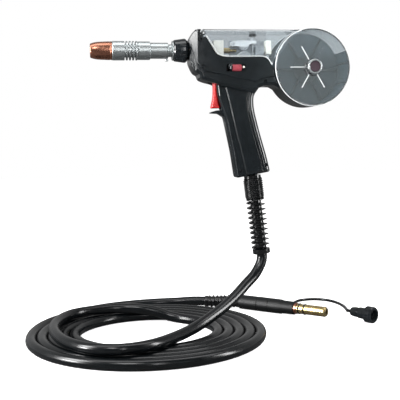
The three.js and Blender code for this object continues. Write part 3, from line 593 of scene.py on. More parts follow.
mainLine = cableLine()
powerCable = dress(cordCurve("powerCable", mainLine, gun["cableRadius"],
                             materials["cable_rubber"]),
                   "power_cable", "cable_coil", "cable_tail")

# the control cable: out of a grommet in the plug's side, a wide loop on the floor, into its
# own plug
lead = {
    "outlet": (76.0, 14.6),
    "loop": [
        (88.6, 113.4, -281.6), (96, 123.6, -284.8), (108, 144, -290), (121, 166, -291.4),
        (135, 182, -291.4), (153, 188, -291.4), (173, 184, -291.4), (188, 168, -291.4),
        (195, 146, -291.4), (196, 116, -291.4), (190, 86, -290), (181.6, 58, -285),
        (175.4, 41, -281.8), (175.2, 36.6, -280.9),
    ],
}
plugTurn = Matrix.Rotation(math.radians(gun["plugTurn"]), 3, "Z")
outletAt, outletTop = lead["outlet"]
leadExit = plugTurn @ Vector((outletAt, outletTop + gun["gap"], 0)) + Vector(gun["plugBack"])
leadEnd = Vector(gun["controlBack"]) - heading(gun["controlTurn"]) * gun["gap"]
leadLine = smoothLine([leadExit, *lead["loop"], leadEnd], 3)
controlCable = dress(cordCurve("controlCable", leadLine, gun["leadRadius"],
                               materials["cable_rubber"]), "control_cable")
print("cable lengths in mm", round(lineLength(mainLine)), round(lineLength(leadLine)))


def spiral(start, end, pitch, height, starts=1, root=0.55, tip=0.16, runOut=1.5):
    # raises the radius into a helical ridge between two distances along the axis; root and tip
    # are the ridge's width, as shares of the pitch, and it fades in and out over runOut
    def shape(distance, radius, angle):
        inside = min(abs(distance - start), abs(distance - end))
        if not min(start, end) < distance < max(start, end):
            return radius
        phase = (distance / pitch + starts * angle / (2 * math.pi)) % 1
        ridge = min(1, max(0, (root - abs(2 * phase - 1)) / (root - tip)))
        return radius + height * ridge * min(1, inside / runOut)
    return shape


onLine = (0, 0, gun["lineZ"])
inSpool = acrossGun("spool")

# nozzle, tip and barrels, all turned about the barrel axis
barrel = {
    "nozzle": (-232.0, -200.4), "rear": (-162.0, -90.0),
    "tip": (-230.5, -222.4), "diffuser": (-222.0, -196.4),
    "groove": [(0, 14.1), (0.35, 9.9), (1.95, 9.9), (2.3, 14.1)],
    "grooveStarts": (-181.9, -177.2, -172.5, -167.8),
    "nut": (-109.0, -87.2), "flutes": 8, "fluteRadius": 2.6, "fluteCircle": 19.1,
    "screwX": -119.3, "screwSocket": 1.0,
}


def makeBarrel():
    f, b = barrel["nozzle"]
    lathe("nozzle", "x", [
        (f, 8.2), (f, 9.7), (f + 0.8, 10.4), (f + 3, 11.2), (f + 6, 12), (f + 10, 12.7),
        (f + 16, 13.1), (b - 3, 13.6), (b - 2.6, 13.2), (b - 1.8, 13.2), (b - 1.4, 13.7),
        (b, 13.7), (b, 9.8), (f + 14, 9.8),
    ], onLine, 96, steps=3)
    lathe("nozzle_insulator", "x", tube(-217.5, -201, 6.6, 9.5), onLine)
    f, b = barrel["tip"]
    lathe("contact_tip", "x", [(f, 0.6), (f, 2.4), (f + 3.5, 4), (b, 4), (b, 0.6)], onLine, 48, 0.1)
    f, b = barrel["diffuser"]
    lathe("gas_diffuser", "x", [
        (f, 1.2), (f, 4.8), (f + 3, 6.3), (b - 1.6, 6.3), (b, 5), (b, 1.2)], onLine, 64, 0.15)
    profile = [(-200, 9), (-200, 13.5), (-199.2, 14.1)]
    for start in barrel["grooveStarts"]:
        profile += [(start + distance, radius) for distance, radius in barrel["groove"]]
    profile += [(-163.1, 14.1), (-162.3, 13.3), (-162.3, 9)]
    lathe("front_barrel", "x", profile, onLine, 96, steps=3)
    f, b = barrel["rear"]
    lathe("rear_barrel", "x", [
        (f, 7), (f, 13), (f + 0.6, 13.5), (f + 17.5, 13.5), (f + 18.4, 11.75), (f + 44.3, 11.75),
        (f + 45.6, 9.2), (f + 50, 9.2), (f + 51, 14.5), (f + 52.4, 14.5), (f + 52.6, 9.6),
        (b, 9.6), (b, 7),
    ], onLine, 96, 0.25, 3)
    f, b = barrel["nut"]
    lathe("barrel_nut", "x", [
        (f, 10), (f, 14.6), (f + 1.4, 15.8), (f + 8, 16.7), (b - 5.5, 17.8), (b - 3.6, 17.2),
        (b - 0.6, 14), (b, 12.5), (b, 10),
    ], onLine, 96, 0.3, holes=[
        rod("x", f - 1, b - 4.5, barrel["fluteRadius"], spot)
        for spot in around(barrel["flutes"], barrel["fluteCircle"], onLine, 0.5)])
    screwAt = (barrel["screwX"], 0, gun["lineZ"])
    lathe("barrel_screw", "z", [
        (-15.6, 0), (-15.6, 1.6), (-14.9, 2.3), (-12.1, 2.3), (-12.1, 0),
    ], screwAt, 32, 0.1, holes=[rod("z", -17, -14.6, barrel["screwSocket"], screwAt, 6)])


makeBarrel()
print("barrel made")

# body and grip shells; sketches are (x, z, rounding)
shell = {
    "seamEdge": [(39.6, 105.4), (36.3, 109.2, 3), (29.4, 120.4, 4), (22.4, 123.1, 3.5),
                 (-36, 123, 8), (-47.4, 127, 4.5), (-60.6, 148.4, 3), (-70.4, 163.2, 3)],
    "head": [(-77.8, 163.2), (-86.6, 150, 5), (-87, 116, 5), (-78.6, 101, 4), (-73.4, 98.2),
             (-71, 91.4, 4), (-62, 88, 4), (-50, 85.2, 4), (-42, 80), (8, 70), (17.5, 78.4, 5),
             (27, 80.9, 4), (40, 80.8), (52, 74), (60, 98)],
    "pod": [(-76, 163.2), (-80, 150, 3), (-80, 118, 3), (-67.1, 101.9, 5), (-38.5, 96.2, 6),
            (4.8, 87.6, 5), (11, 85.6, 3), (18, 89.4, 3), (26, 91.6, 3), (48, 94.6)],
    "plan": [(-87.2, -13, 1.5), (-75.2, -25.4, 1.5), (66, -25.4), (66, 25.4),
             (-75.2, 25.4, 1.5), (-87.2, 13, 1.5)],
    "grip": [(-47.6, 96), (-45.2, 66, 6), (-38.6, 46, 5), (-34, 32.8, 6), (-29.4, 10.5, 8),
             (-23.9, -16.6, 8), (-18, -57.4, 4), (34.4, -48.6, 4), (28.8, -24.5, 8),
             (18.3, 12.6, 12), (10, 47, 10), (9.8, 66, 6), (20, 80, 5), (24, 96)],
    "guard": [(-34, 45.6), (-46.4, 45.1, 2), (-55, 42.6, 0.6), (-55.2, 41, 0.6), (-43, 40.2, 2),
              (-34, 34)],
    "bay": [(-83.9, 118, 3), (-83.6, 149.2, 2), (-76.2, 160.4, 1), (-72.6, 160.4), (-72.6, 175),
            (36, 175), (36, 108), (45, 104), (45, 85), (10, 82, 3), (-48, 89.4, 4), (-66, 92, 3),
            (-69, 101, 3), (-76, 105, 3)],
    # the bay in plan, which keeps the wall behind the front facets
    "bayPlan": [(-83.9, -12.8), (-75.5, -21.5), (60, -21.5), (60, 21.5), (-75.5, 21.5),
                (-83.9, 12.8)],
    # the step between the grip's front panel and its side
    "gripStep": [(-36, 87.6), (-33.3, 76.3), (-28.7, 59.3), (-22.3, 29.8), (-18.9, 13.9),
                 (-11.5, -15.9), (-3.6, -52)],
    "stepDepth": 1.6, "stepRise": 5, "panelFront": [(-60, -60), (-70, 20), (-60, 84)],
    # flutes down the grip's back edge: distances in from the edge, and the heights they span
    "flutes": (2.2, 6.4, 10.6), "fluteRadius": 2.1, "fluteLift": 0.6, "fluteSpan": (-32, 74),
    # the shallow dish behind the speed roller
    "dish": [(7.5, 116, 3), (7.9, 102.6, 5), (11.6, 94.2, 5), (19.4, 92.6, 4), (30, 93, 3),
             (42, 97), (42, 125), (12, 125, 3)],
    "dishDepth": 0.9,
    # x, z and the depth of the face that each screw sits in
    "screws": [(-72, 147.6, 25), (-67.6, 108.6, 25), (25.8, 87, 23.4), (27.6, -37.5, 17),
               (-11.4, -46, 17)],
    # boxes as two x, two y and two z
    "triggerSlot": (-58, -28, -7.6, 7.6, 47.5, 97),
    "rollerWindow": (-33.4, -4.6, -27, -20, 101.6, 112.4),
    "betweenLugs": (-90, -50, -12, 12, 140, 170),
    "pinBore": 1.7, "lugRadius": 2.9,
}

# the spool drum on the far half: a thin rim and floor, a boss for the spindle and ribs
drum = {"bridge": [(38, 104), (38, 82), (50, 76), (54, 80), (46, 104)],
        "bossFront": 16.5, "bossRadius": 13, "spindleBore": 3.4,
        "ribs": (12, 54), "ribHeight": 2.4, "ribHalf": 1.5, "overlap": 0.5}


def wedge(angles, y0, y1, reach=90):
    # a fan from the spool's middle, which keeps or clears a part of its round housing
    middle = Vector(gun["spool"])
    return slab("tool", [middle] + [middle + heading(a).xy * reach for a in angles], y0, y1)


def ribs(start, end, y0, y1, halfWidth, count=6):
    # straight ribs round the spool's middle, from one radius to another
    return [place(block(start, end, y0, y1, -halfWidth, halfWidth), inSpool,
                  Matrix.Rotation(-2 * math.pi * i / count, 3, "Y")) for i in range(count)]


def makeDrum():
    inner = gun["drumRadius"] - gun["wall"]
    floorY = gun["drumBack"] - gun["wall"]
    floorTop = floorY + drum["overlap"]
    wall = tube(gun["coverBack"] + gun["gap"], floorTop, inner, gun["drumRadius"])
    rim = cut(turned("tool", "y", wall, None, inSpool, gun["roundSides"]),
              wedge([gun["rimStep"], 60, 90, 135, 180], -40, floorY))
    backWall = rod("y", floorY, gun["drumBack"], gun["drumRadius"], inSpool, gun["roundSides"])
    boss = rod("y", drum["bossFront"], floorTop, drum["bossRadius"], inSpool, 64)
    spokes = ribs(*drum["ribs"], floorY - drum["ribHeight"], floorTop, drum["ribHalf"])
    bridge = cut(slab("tool", drum["bridge"], gun["gap"] / 2 + 3, floorY + 1),
                 rod("y", -50, floorY, inner, inSpool, gun["roundSides"]))
    return cut(join(rim, backWall, boss, *spokes, bridge),
               rod("y", 0, 30, drum["spindleBore"], inSpool))


def flute(distance, side):
    # a round tool along the grip's back edge, lifted off its surface at that distance
    edge = gun["gripRound"]
    lean = max(0, 1 - distance / edge)
    upright = math.sqrt(1 - lean ** 2)
    y = side * (gun["gripHalf"] - edge + (edge + shell["fluteLift"]) * upright)
    corners = insetCorners(shell["grip"], distance - shell["fluteLift"] * lean)
    low, high = shell["fluteSpan"]
    # corners 7 and 8 of the grip are the foot of its back edge and the first bend above it
    foot, bend = (Vector((c[0], y, c[1])) for c in corners[7:9])
    line = [foot + (foot - bend).normalized() * 20]
    line += [Vector((p.x, y, p.y)) for p in outline(corners) if p.x > -1 and low < p.y < high]
    return sweep("tool", line, lambda d, a: shell["fluteRadius"], None, 16, (0, 1, 0))


def frontPanel(side):
    # the lowered front panel; its back wall slopes at 45 degrees and catches the light
    y = gun["gripHalf"] - shell["stepDepth"]
    rise = shell["stepRise"]
    sketch = shell["gripStep"] + shell["panelFront"]
    low = [(x, side * y, z) for x, z in sketch]
    high = [(x + rise, side * (y + rise), z) for x, z in sketch]
    count = len(low)
    faces = [tuple(range(count)), tuple(range(count, 2 * count))]
    faces += [(i, (i + 1) % count, (i + 1) % count + count, i + count) for i in range(count)]
    return addPiece("tool", low + high, faces, None)


def shellBody():
    # both halves as one hollow moulding, before they are split
    edge = shell["seamEdge"]
    head = slab("head", edge + shell["head"], -gun["waistHalf"], gun["waistHalf"], 5)
    pod = slab("tool", edge + shell["pod"], -gun["bodyHalf"], gun["bodyHalf"], 1.4)
    body = common(join(head, pod), slab("tool", shell["plan"], 60, 170, plane="xy"))
    half = gun["gripHalf"]
    inside = half - gun["wall"] - 0.3
    grip = slab("tool", shell["grip"], -half, half, gun["gripRound"])
    for side in (-1, 1):
        grip = cut(grip, frontPanel(side), *[flute(d, side) for d in shell["flutes"]])
    hollow = slab("tool", shell["grip"], -inside, inside, 4.5, gun["wall"] + 0.3, 2)
    bayHalf = gun["bodyHalf"] - gun["wall"] - 1
    bay = common(slab("tool", shell["bay"], -bayHalf, bayHalf),
                 slab("tool", shell["bayPlan"], 60, 180, plane="xy"))
    pin = acrossGun("canopyPin")
    cableWay = place(rod("z", -14, 4, gun["cableRadius"] + 0.5), gun["reliefTop"], reliefTurn)
    body = cut(
        join(body, grip, slab("tool", shell["guard"], -8, 8, 1)), bay, hollow,
        rod("y", -60, 60, gun["drumRadius"] + 0.5, inSpool, gun["roundSides"]),
        rod("y", -60, 60, gun["earRadius"] + 0.4, pin), rod("x", -95, -78, 12, onLine, 96),
        block(*shell["triggerSlot"]), cableWay)
    lugHalf = bayHalf + 0.2
    lugs = cut(join(block(-79, pin[0], -lugHalf, lugHalf, pin[2] - 4, pin[2] + 0.4),
                    rod("y", -lugHalf, lugHalf, shell["lugRadius"], pin)),
               block(*shell["betweenLugs"]), rod("y", -30, 30, shell["pinBore"], pin))
    return join(body, lugs)


def oneHalf(body, y0, y1):
    return common(body, block(-100, 60, y0, y1, -70, 180))


def makeShells():
    body = shellBody()
    far = addObject("tool", body.data.copy())
    holes = [rod("y", -side - 2, -side + 2.2, 2.8, (x, 0, z)) for x, z, side in shell["screws"]]
    dish = slab("tool", shell["dish"], -30, shell["dishDepth"] - gun["bodyHalf"])
    near = cut(oneHalf(body, -40, -gun["gap"] / 2), block(*shell["rollerWindow"]), dish, *holes)
    far = join(oneHalf(far, gun["gap"] / 2, 40), makeDrum())
    for piece, node in ((near, "left_shell"), (far, "right_shell")):
        piece.name = pieceName(node)
        paint(piece, materials["black_plastic"])
        dress(soften(piece, 0.3), node)
    floorY = gun["drumBack"] - gun["wall"]
    inner = gun["drumRadius"] - gun["wall"]

    # painted light: the drum's floor and inner wall take the slate grey
    def insideDrum(c, n):
        radius = math.hypot(c.x - gun["spool"][0], c.z - gun["spool"][1])
        onFloor = abs(c.y - floorY) < 0.3 and n.y < -0.9 and radius < inner
        return onFloor or (abs(radius - inner) < 0.4 and abs(n.y) < 0.3 and c.y > gun["coverFront"])
    repaint(far, slatePaintedLight, insideDrum)


def makeScrews():
    for i, (x, z, side) in enumerate(shell["screws"]):
        lathe(f"shell_screw_{i + 1}", "y", [
            (0.7 - side, 0), (0.7 - side, 1.8), (1 - side, 2.4), (1.9 - side, 2.4), (1.9 - side, 0),
        ], (x, 0, z), 32, 0.12, holes=[rod("y", -side - 1, 1.5 - side, 1.3, (x, 0, z), 6)])


makeShells()
makeScrews()
print("shells made")


# trigger lever, sketched as (x, z, rounding), and the speed roller
trigger = {
    "blade": [(-50.4, 88), (-50, 77, 6), (-50.6, 64, 10), (-54.4, 48.4, 2), (-40.6, 48.4, 2),
              (-43, 60, 5), (-44.6, 74, 5), (-43, 88)],
    "arm": [(-49, 80), (-46, 87.4), (-43.4, 96), (-36.4, 96), (-36.4, 88), (-44, 80)],
    "half": 6.8, "springSlot": (-50, -30, -2.5, 2.5, 88.4, 98), "dot": (-7.3, 0, 108),
}


def makeTrigger():
    half = trigger["half"]
    lever = slab("trigger", trigger["blade"], -half, half, 3, material=materials["red_plastic"])
    lever = cut(join(lever, slab("tool", trigger["arm"], -half, half, 0.8)),
                rod("y", -9, 9, shell["pinBore"], acrossGun("triggerPin")),
                block(*trigger["springSlot"]))
    dress(soften(lever, 0.2), "trigger")
    lathe("speed_roller", "x", [
        (-5.4, 0), (-5.4, 4.4), (-4.9, 5), (7.8, 5), (8.6, 4.2), (8.6, 0),
    ], gun["dial"], 112, 0, shape=knurled(0.3, 14, 5), material=wineRed)
    cap = turned("rollerCap", "x", [(-8.6, 0), (-8.6, 4.2), (-7.9, 4.9), (-5.5, 4.9), (-5.5, 0)],
                 materials["black_plastic"], gun["dial"], 48)
    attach(soften(cap, 0.1), "speed_wheel")
    lathe("pointer_dot", "y", [
        (-25.2, 0), (-25.2, 1.1), (-24.8, 1.6), (-21.2, 1.6), (-21.2, 0)], trigger["dot"], 32, 0.1)


makeTrigger()


def fromCad(node, width=0.25, material=None):
    # a copy of a CAD piece with its flat faces joined and its edges rounded
    piece = addObject(node + "Piece", frame["nodes"][node].data.copy())
    sketch = bmesh.new()
    sketch.from_mesh(piece.data)
    bmesh.ops.remove_doubles(sketch, verts=sketch.verts, dist=1e-6)
    bmesh.ops.dissolve_limit(sketch, angle_limit=0.01, verts=sketch.verts, edges=sketch.edges)
    sketch.to_mesh(piece.data)
    sketch.free()
    paint(piece, material or materials[slotOf[node]])
    return dress(soften(piece, width), node)


def makeDrive():
    for node in ("insulator_block", "inlet_guide", "tension_screw", "gearbox", "micro_switch",
                 "switch_plunger", "speed_potentiometer"):
        fromCad(node)
    fromCad("drive_frame", material=frameCasting)
    fromCad("pressure_arm", material=armCasting)
    roll = acrossGun("roll")
    lathe("drive_roll", "y", [
        (-5, 0), (-5, 11.4), (-4.4, 12), (-1, 12), (0, 11.1), (1, 12), (4.4, 12), (5, 11.4),
        (5, 4), (14, 4), (14, 0),
    ], roll, 96, 0.15, added=[rod("y", -7.4, -4, 3, roll, 6)])
    lathe("pressure_roll", "y", tube(-3, 3, 2.3, 8), acrossGun("pressRoll"), edge=0.3)
    lathe("outlet_guide", "x", [
        (-34, 1), (-34, 4.2), (-24, 4.2), (-22, 2.2), (-13.4, 2.2), (-13.4, 1)], onLine, 48, 0.15)
    screw = (*gun["screw"], 0)
    lathe("tension_knob", "z", [
        (155.9, 0), (155.9, 5), (156.4, 5.4), (159.6, 5.4), (160.2, 4.8), (160.2, 0),
    ], screw, 96, 0.1, shape=knurled(0.35, 10, 5.1), holes=[rod("z", 150, 158.4, 1.8, screw)])


makeDrive()

# springs: axis, start, end, radius, wire radius, turns and place, in millimetres
springs = {
    "trigger_spring": ("y", -1.7, 1.7, 2.4, 0.4, 3, acrossGun("triggerPin")),
    "tension_spring": ("z", 149.9, 155.1, 3.1, 0.45, 3, (*gun["screw"], 0)),
    "brake_spring": ("y", 10.2, 13.1, 5.4, 0.45, 2.5, inSpool),
}


def makeSprings():
    for node, (axis, start, end, radius, wire, turns, at) in springs.items():
        line = []
        for t in between(0, 1, 1 / (28 * turns)):
            angle = 2 * math.pi * turns * t
            line.append(Vector(along(axis, start + (end - start) * t, radius * math.cos(angle),
                                     radius * math.sin(angle), at)))
        coil = sweep(node + "Coil", line, lambda d, a: wire, materials["steel"], 12,
                     (0, 1, 0) if axis == "y" else (0, 0, 1))
        dress(soften(coil, 0), node)
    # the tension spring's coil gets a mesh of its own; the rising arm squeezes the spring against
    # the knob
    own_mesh(bpy.data.objects["tension_springCoil"])


makeSprings()
print("trigger and drive made")


def arc(centre, radius, start, end, count):
    angles = [math.radians(start + (end - start) * i / count) for i in range(count + 1)]
    return [(centre[0] + radius * math.cos(a), centre[1] + radius * math.sin(a)) for a in angles]


# the clear hood over the drive, sketched from its hinge along its foot to the spool's housing
hood = {
    "foot": [(-60.1, 148.85, 3), (-47.1, 127.65, 4), (-36, 123.45, 8), (22.6, 123.55, 3),
             (29.7, 120.95, 5)],
    "front": (-66.2, -66.1),        # x of the front edge, at the top and at the hinge
    "footEnd": -24.6,               # where the rear edge starts, in degrees about the hinge
    "spoolGap": 0.7, "sideGap": 0.4, "rounding": 1.4,
}


def makeCanopy():
    pinX, pinZ = gun["canopyPin"]
    spoolX, spoolZ = gun["spool"]
    rear = gun["drumRadius"] + hood["spoolGap"]
    swing = math.hypot(spoolX - pinX, spoolZ - pinZ) - rear
    toSpool = math.degrees(math.atan2(spoolZ - pinZ, spoolX - pinX))
    top = 180 - math.degrees(math.asin((gun["canopyTop"] - spoolZ) / rear))
    sketch = [(hood["front"][0], gun["canopyTop"]), (hood["front"][1], pinZ), *hood["foot"]]
    sketch += arc((pinX, pinZ), swing, hood["footEnd"], toSpool, 6)
    sketch += arc((spoolX, spoolZ), rear, 180 + toSpool, top, 32)[1:]
    half = gun["bodyHalf"] - hood["sideGap"]
    wall = gun["clearWall"]
    pin = (pinX, 0, pinZ)
    roof = gun["canopyTop"] - wall
    canopy = join(slab("driveCanopy", sketch, -half, half, hood["rounding"]),
                  rod("y", -half, half, gun["earRadius"], pin))
    inside = slab("tool", [(-80, 100), (110, 100), (110, roof), (-80, roof)],
                  wall - half, half - wall, 1)
    front = cut(block(-80, pinX, -40, 40, 140, 170), rod("y", -50, 50, gun["earRadius"], pin))
    overLugs = block(-80, pinX + 0.3, wall - half, half - wall, 140, 170)
    canopy = cut(canopy, inside, front, overLugs, rod("y", -40, 40, shell["pinBore"], pin))
    paint(canopy, materials["clear_plastic"])
    dress(soften(canopy, 0.3), "drive_canopy").visible_shadow = False
    # painted highlight: the hood's rounded side edges, away from its hinge ear, take the milky
    # white
    ear = gun["earRadius"] + 0.3
    repaint(canopy, edgeGlowPainted, lambda c, n: abs(abs(c.y) - half) < 1.5 and abs(n.y) < 0.97
            and n.z < 0.3 and c.z < roof and math.hypot(c.x - pinX, c.z - pinZ) > ear)
    lathe("canopy_pin", "y", [(-24.4, 0), (-24.4, 1.4), (24.4, 1.4), (24.4, 0)], pin, 48)


# the clear spool cover: its ribs run between two radii and carry a painted highlight, in milky
# white, between two others
cover = {"ribs": (12, 35), "ribHeight": 0.5, "ribHalf": 0.6, "paintedGlowRibs": (13.3, 35.4),
         "middleRise": 2.6, "nutBore": 4.6, "nutGap": 0.3}


def makeSpoolHousing():
    front, back = gun["coverFront"], gun["coverBack"]
    radius, wall = gun["drumRadius"], gun["clearWall"]
    middle = front - cover["middleRise"]
    rim = tube(back - 0.5, gun["drumBack"] - gun["wall"] - gun["gap"], radius - wall, radius)
    rim = common(turned("tool", "y", rim, None, inSpool, gun["roundSides"]),
                 wedge([gun["rimStep"] + 0.5, 50, 78, gun["rimTop"]], -60, 60))
    lid = lathe("spool_cover", "y", [
        (back, 0), (back, radius), (front + 0.3, radius), (front - 0.6, radius - 0.7),
        (front - 0.6, radius - 1.6), (front, radius - 2.4), (front, 13), (middle, 12.4),
        (middle, 0),
    ], inSpool, gun["roundSides"], 0.25, added=[
        rim, *ribs(*cover["ribs"], front - 1, front + cover["ribHeight"], cover["ribHalf"])],
        holes=[rod("y", -50, 0, cover["nutBore"], inSpool)])
    lid.visible_shadow = False
    ribStart, ribEnd = cover["paintedGlowRibs"]

    def paintedGlow(c, n):
        # painted highlight: the rim's slopes, the ribs that face the light and the ends of the
        # clear wall
        arm = Vector((c.x - inSpool[0], 0, c.z - inSpool[2]))
        bead = arm.length > radius - 0.9 and c.y < front + 0.6 and abs(n.y) < 0.97
        turnedAway = arm.x > 0 and arm.z > -5
        rib = ribStart < arm.length < ribEnd and c.y < front - 0.2 and not turnedAway
        end = arm.length > radius - wall - 0.2 and abs(n.dot(arm.normalized())) + abs(n.y) < 0.6
        return bead or rib or end
    repaint(lid, edgeGlowPainted, paintedGlow)
    b = middle - cover["nutGap"]
    lathe("thumb_nut", "y", [
        (b, 4.5), (b, 9.6), (b - 1, 10.9), (b - 8.6, 10.9), (b - 9.2, 10.3), (b - 9.2, 8.6),
        (b - 5, 8.3), (b - 5, 4.5),
    ], inSpool, 192, 0.15, shape=knurled(0.3, 24, 10.5))
    lathe("nut_cap", "y", [
        (b - 5.3, 0), (b - 5.3, 8), (b - 8, 8), (b - 8.4, 7.5), (b - 8.1, 5), (b - 8.1, 0),
    ], inSpool, 64, 0.15)
    lathe("spool_spindle", "y", [
        (18.5, 0), (18.5, 3.1), (16.2, 3.1), (16.2, 8.6), (14, 8.6), (14, 4), (b - 4.4, 4),
        (b - 4.9, 3.4), (b - 4.9, 0),
    ], inSpool, 48)
    lathe("spool_hub", "y", [
        (-23, 4.4), (-23, 7), (-22, 7.9), (6.5, 7.9), (6.5, 20), (9.3, 20), (9.3, 4.4),
    ], inSpool, edge=0.3)


makeCanopy()
makeSpoolHousing()
print("canopy and spool housing made")


# the cable's boot and coil relief under the grip
reliefs = {"bootPitch": 3.2, "bootStarts": 5, "bootHeight": 1.6,
           "coilPitch": 7.7, "valley": 8.6, "crest": 14.3, "plugTurns": 8}


def makeReliefs():
    moved = (gun["reliefTop"], reliefTurn)
    bore = gun["cableRadius"] + 0.4
    top, bottom = gun["boot"]
    profile = [(-4.3, bore), (-4.3, 12.9), (-top - 1.5, 12.9), (-top - 2.2, 14.2)]
    profile += [(d, 13.4) for d in between(-top - 3, -bottom + 1, 0.35)]
    profile += [(-bottom + 0.6, 14.2), (-bottom, 13.8), (-bottom, bore)]
    ridges = spiral(-top - 3, -bottom + 1, reliefs["bootPitch"], reliefs["bootHeight"],
                    reliefs["bootStarts"], 0.9, 0.1)
    lathe("cable_boot", "z", profile, segments=96, edge=0, shape=ridges, angle=50, moved=moved)
    top, bottom = gun["relief"]
    valley = reliefs["valley"]
    profile = [(-top, bore), (-top, 13), (-top - 0.6, 13.6), (-top - 1.8, 13.6),
               (-top - 2.2, valley)]
    profile += [(d, valley) for d in between(-top - 3, -bottom + 7.8, 0.35)]
    profile += [(-bottom + 7.2, 13.4), (-bottom + 0.8, 13.4), (-bottom, 12.6), (-bottom, bore)]
    coils = spiral(-top - 2.4, -bottom + 7.8, reliefs["coilPitch"], reliefs["crest"] - valley)
    lathe("strain_relief", "z", profile, edge=0, shape=coils, angle=50, moved=moved)


makeReliefs()

# the two plugs, turned about X from their back ends, then set down on the floor
plug = {
    # the relief's plain start, its valley and its ridge's height; its lip and how much that
    # widens; and the length and radius of its end
    "relief": (5.4, 8.6, 2.3), "lip": (8.8, 0.8), "coverEnd": (5, 10.4),
    # its path leaves the cable's tail at tailTurn degrees; step is a share of the path
    "tailTurn": -21, "reach": 22, "pathEnd": 0.995, "step": 0.008,
    "pinRadius": 8.3, "ringRadius": 1.05,
    "rings": {"o_ring_rear": 116.6, "o_ring_front": 126.4},
    "contacts": 5, "contactCircle": 4.4, "notches": 10, "notchCircle": 14.2,
}


def makePowerPlug():
    moved = (gun["plugBack"], plugTurn)
    tailEnd, start, reach = Vector(cable["tail"][-1]), Vector(gun["plugBack"]), plug["reach"]
    way = heading(plug["tailTurn"])
    a, b, c, d = (tailEnd + way * gun["gap"], tailEnd + way * reach,
                  start - heading(gun["plugTurn"]) * reach, start)
    line = [a * (1 - t) ** 3 + b * 3 * t * (1 - t) ** 2 + c * 3 * t * t * (1 - t) + d * t ** 3
            for t in between(0, plug["pathEnd"], plug["step"])]
    length = lineLength(line)
    smooth, valley, height = plug["relief"]
    lip, lipRise = plug["lip"]
    endLength, endRadius = plug["coverEnd"]
    coilEnd = length - endLength
    coils = spiral(smooth, coilEnd, (coilEnd - smooth) / reliefs["plugTurns"], height)

    def reliefRadius(distance, angle):
        if distance < smooth:
            return lip + min(lipRise, distance)
        return coils(distance, valley if distance < coilEnd else endRadius, angle)
    relief = sweep("plugRelief", line, reliefRadius, materials["black_rubber"])
    pieces = [dress(soften(relief, 0, angle=50), "plug_relief")]
    grommet = turned("tool", "y", [
        (6, 0), (6, 5), (12.6, 4.8), (outletTop, 3.6), (outletTop, 0),
    ], None, (outletAt, 0, 0), 48)
    pieces.append(lathe("plug_grip", "x", [
        (0, 0), (0, 10.6), (1.6, 12.2), (37, 12.3), (37.6, 11.7), (38.6, 11.7), (39.2, 12.4),
        (60, 12.35), (60.5, 11.9), (61.5, 11.9), (62, 12.35), (82, 12.2), (84, 11.2),
        (107, 10.8), (108, 10.2), (108, 0),
    ], segments=96, edge=0.3, material=dryRubber, added=[grommet], moved=moved))
    pieces.append(lathe("plug_collar", "x", tube(108.3, 112.6, 6.6, 9.2), edge=0.3, moved=moved))
    pieces.append(lathe("power_plug", "x", [
        (108.3, 0), (108.3, 6.3), (113, 6.3), (113, 8.3), (115.2, 8.3), (115.2, 7), (118, 7),
        (118, 8.3), (125, 8.3), (125, 7), (127.8, 7), (127.8, 8.3), (163, 8.3), (165.4, 6.6),
        (165.4, 3), (150, 3), (150, 0),
    ], segments=96, moved=moved))
    for node, distance in plug["rings"].items():
        section = [(distance + c, plug["pinRadius"] + s)
                   for _, c, s in around(16, plug["ringRadius"])]
        ring = turned(node + "Piece", "x", section, materials["black_rubber"], segments=96)
        pieces.append(dress(place(soften(ring, 0), *moved), node))
    return pieces


def makeControlPlug():
    moved = (gun["controlBack"], Matrix.Rotation(math.radians(gun["controlTurn"]), 3, "Z"))
    contacts = [rod("x", 36, 41, 0.9, spot, 16)
                for spot in around(plug["contacts"], plug["contactCircle"])]
    body = lathe("control_plug", "x", [
        (0, 0), (0, 4.6), (2, 7), (8, 8), (14.6, 8), (15.4, 7.2), (16.4, 7.2), (17, 9),
        (30.4, 9.2), (30.8, 8.4), (42, 8.4), (42, 7.4), (37, 7.4), (37, 0),
    ], segments=96, added=contacts, moved=moved)
    notches = [rod("x", 30, 42.6, 1.9, spot, 24)
               for spot in around(plug["notches"], plug["notchCircle"])]
    ring = lathe("plug_ring", "x", [
        (31, 8.8), (31, 12.2), (32, 13.1), (43, 13.1), (44.6, 12), (44.6, 8.8),
    ], segments=120, holes=notches, moved=moved)
    return [body, ring]


powerPieces = makePowerPlug()
controlPieces = makeControlPlug()
print("plugs and cords made")

for node, slotName in slotOf.items():
    cadPiece = frame["nodes"][node]
    paint(cadPiece, materials[slotName])
    for polygon in cadPiece.data.polygons:
        polygon.use_smooth = True

# white studio: the camera sees white; glass and gloss see a bright sweep behind, a dim room in
# front of it
studio = {"ambient": 0.4, "backGlow": 1.0, "roomGlow": 0.2, "glossShare": 0.42,
          "floorSize": 6.0, "paper": 0.86, "paperInGloss": 0.1, "floorLift": 0.78,
          "floorGloss": 0.03}


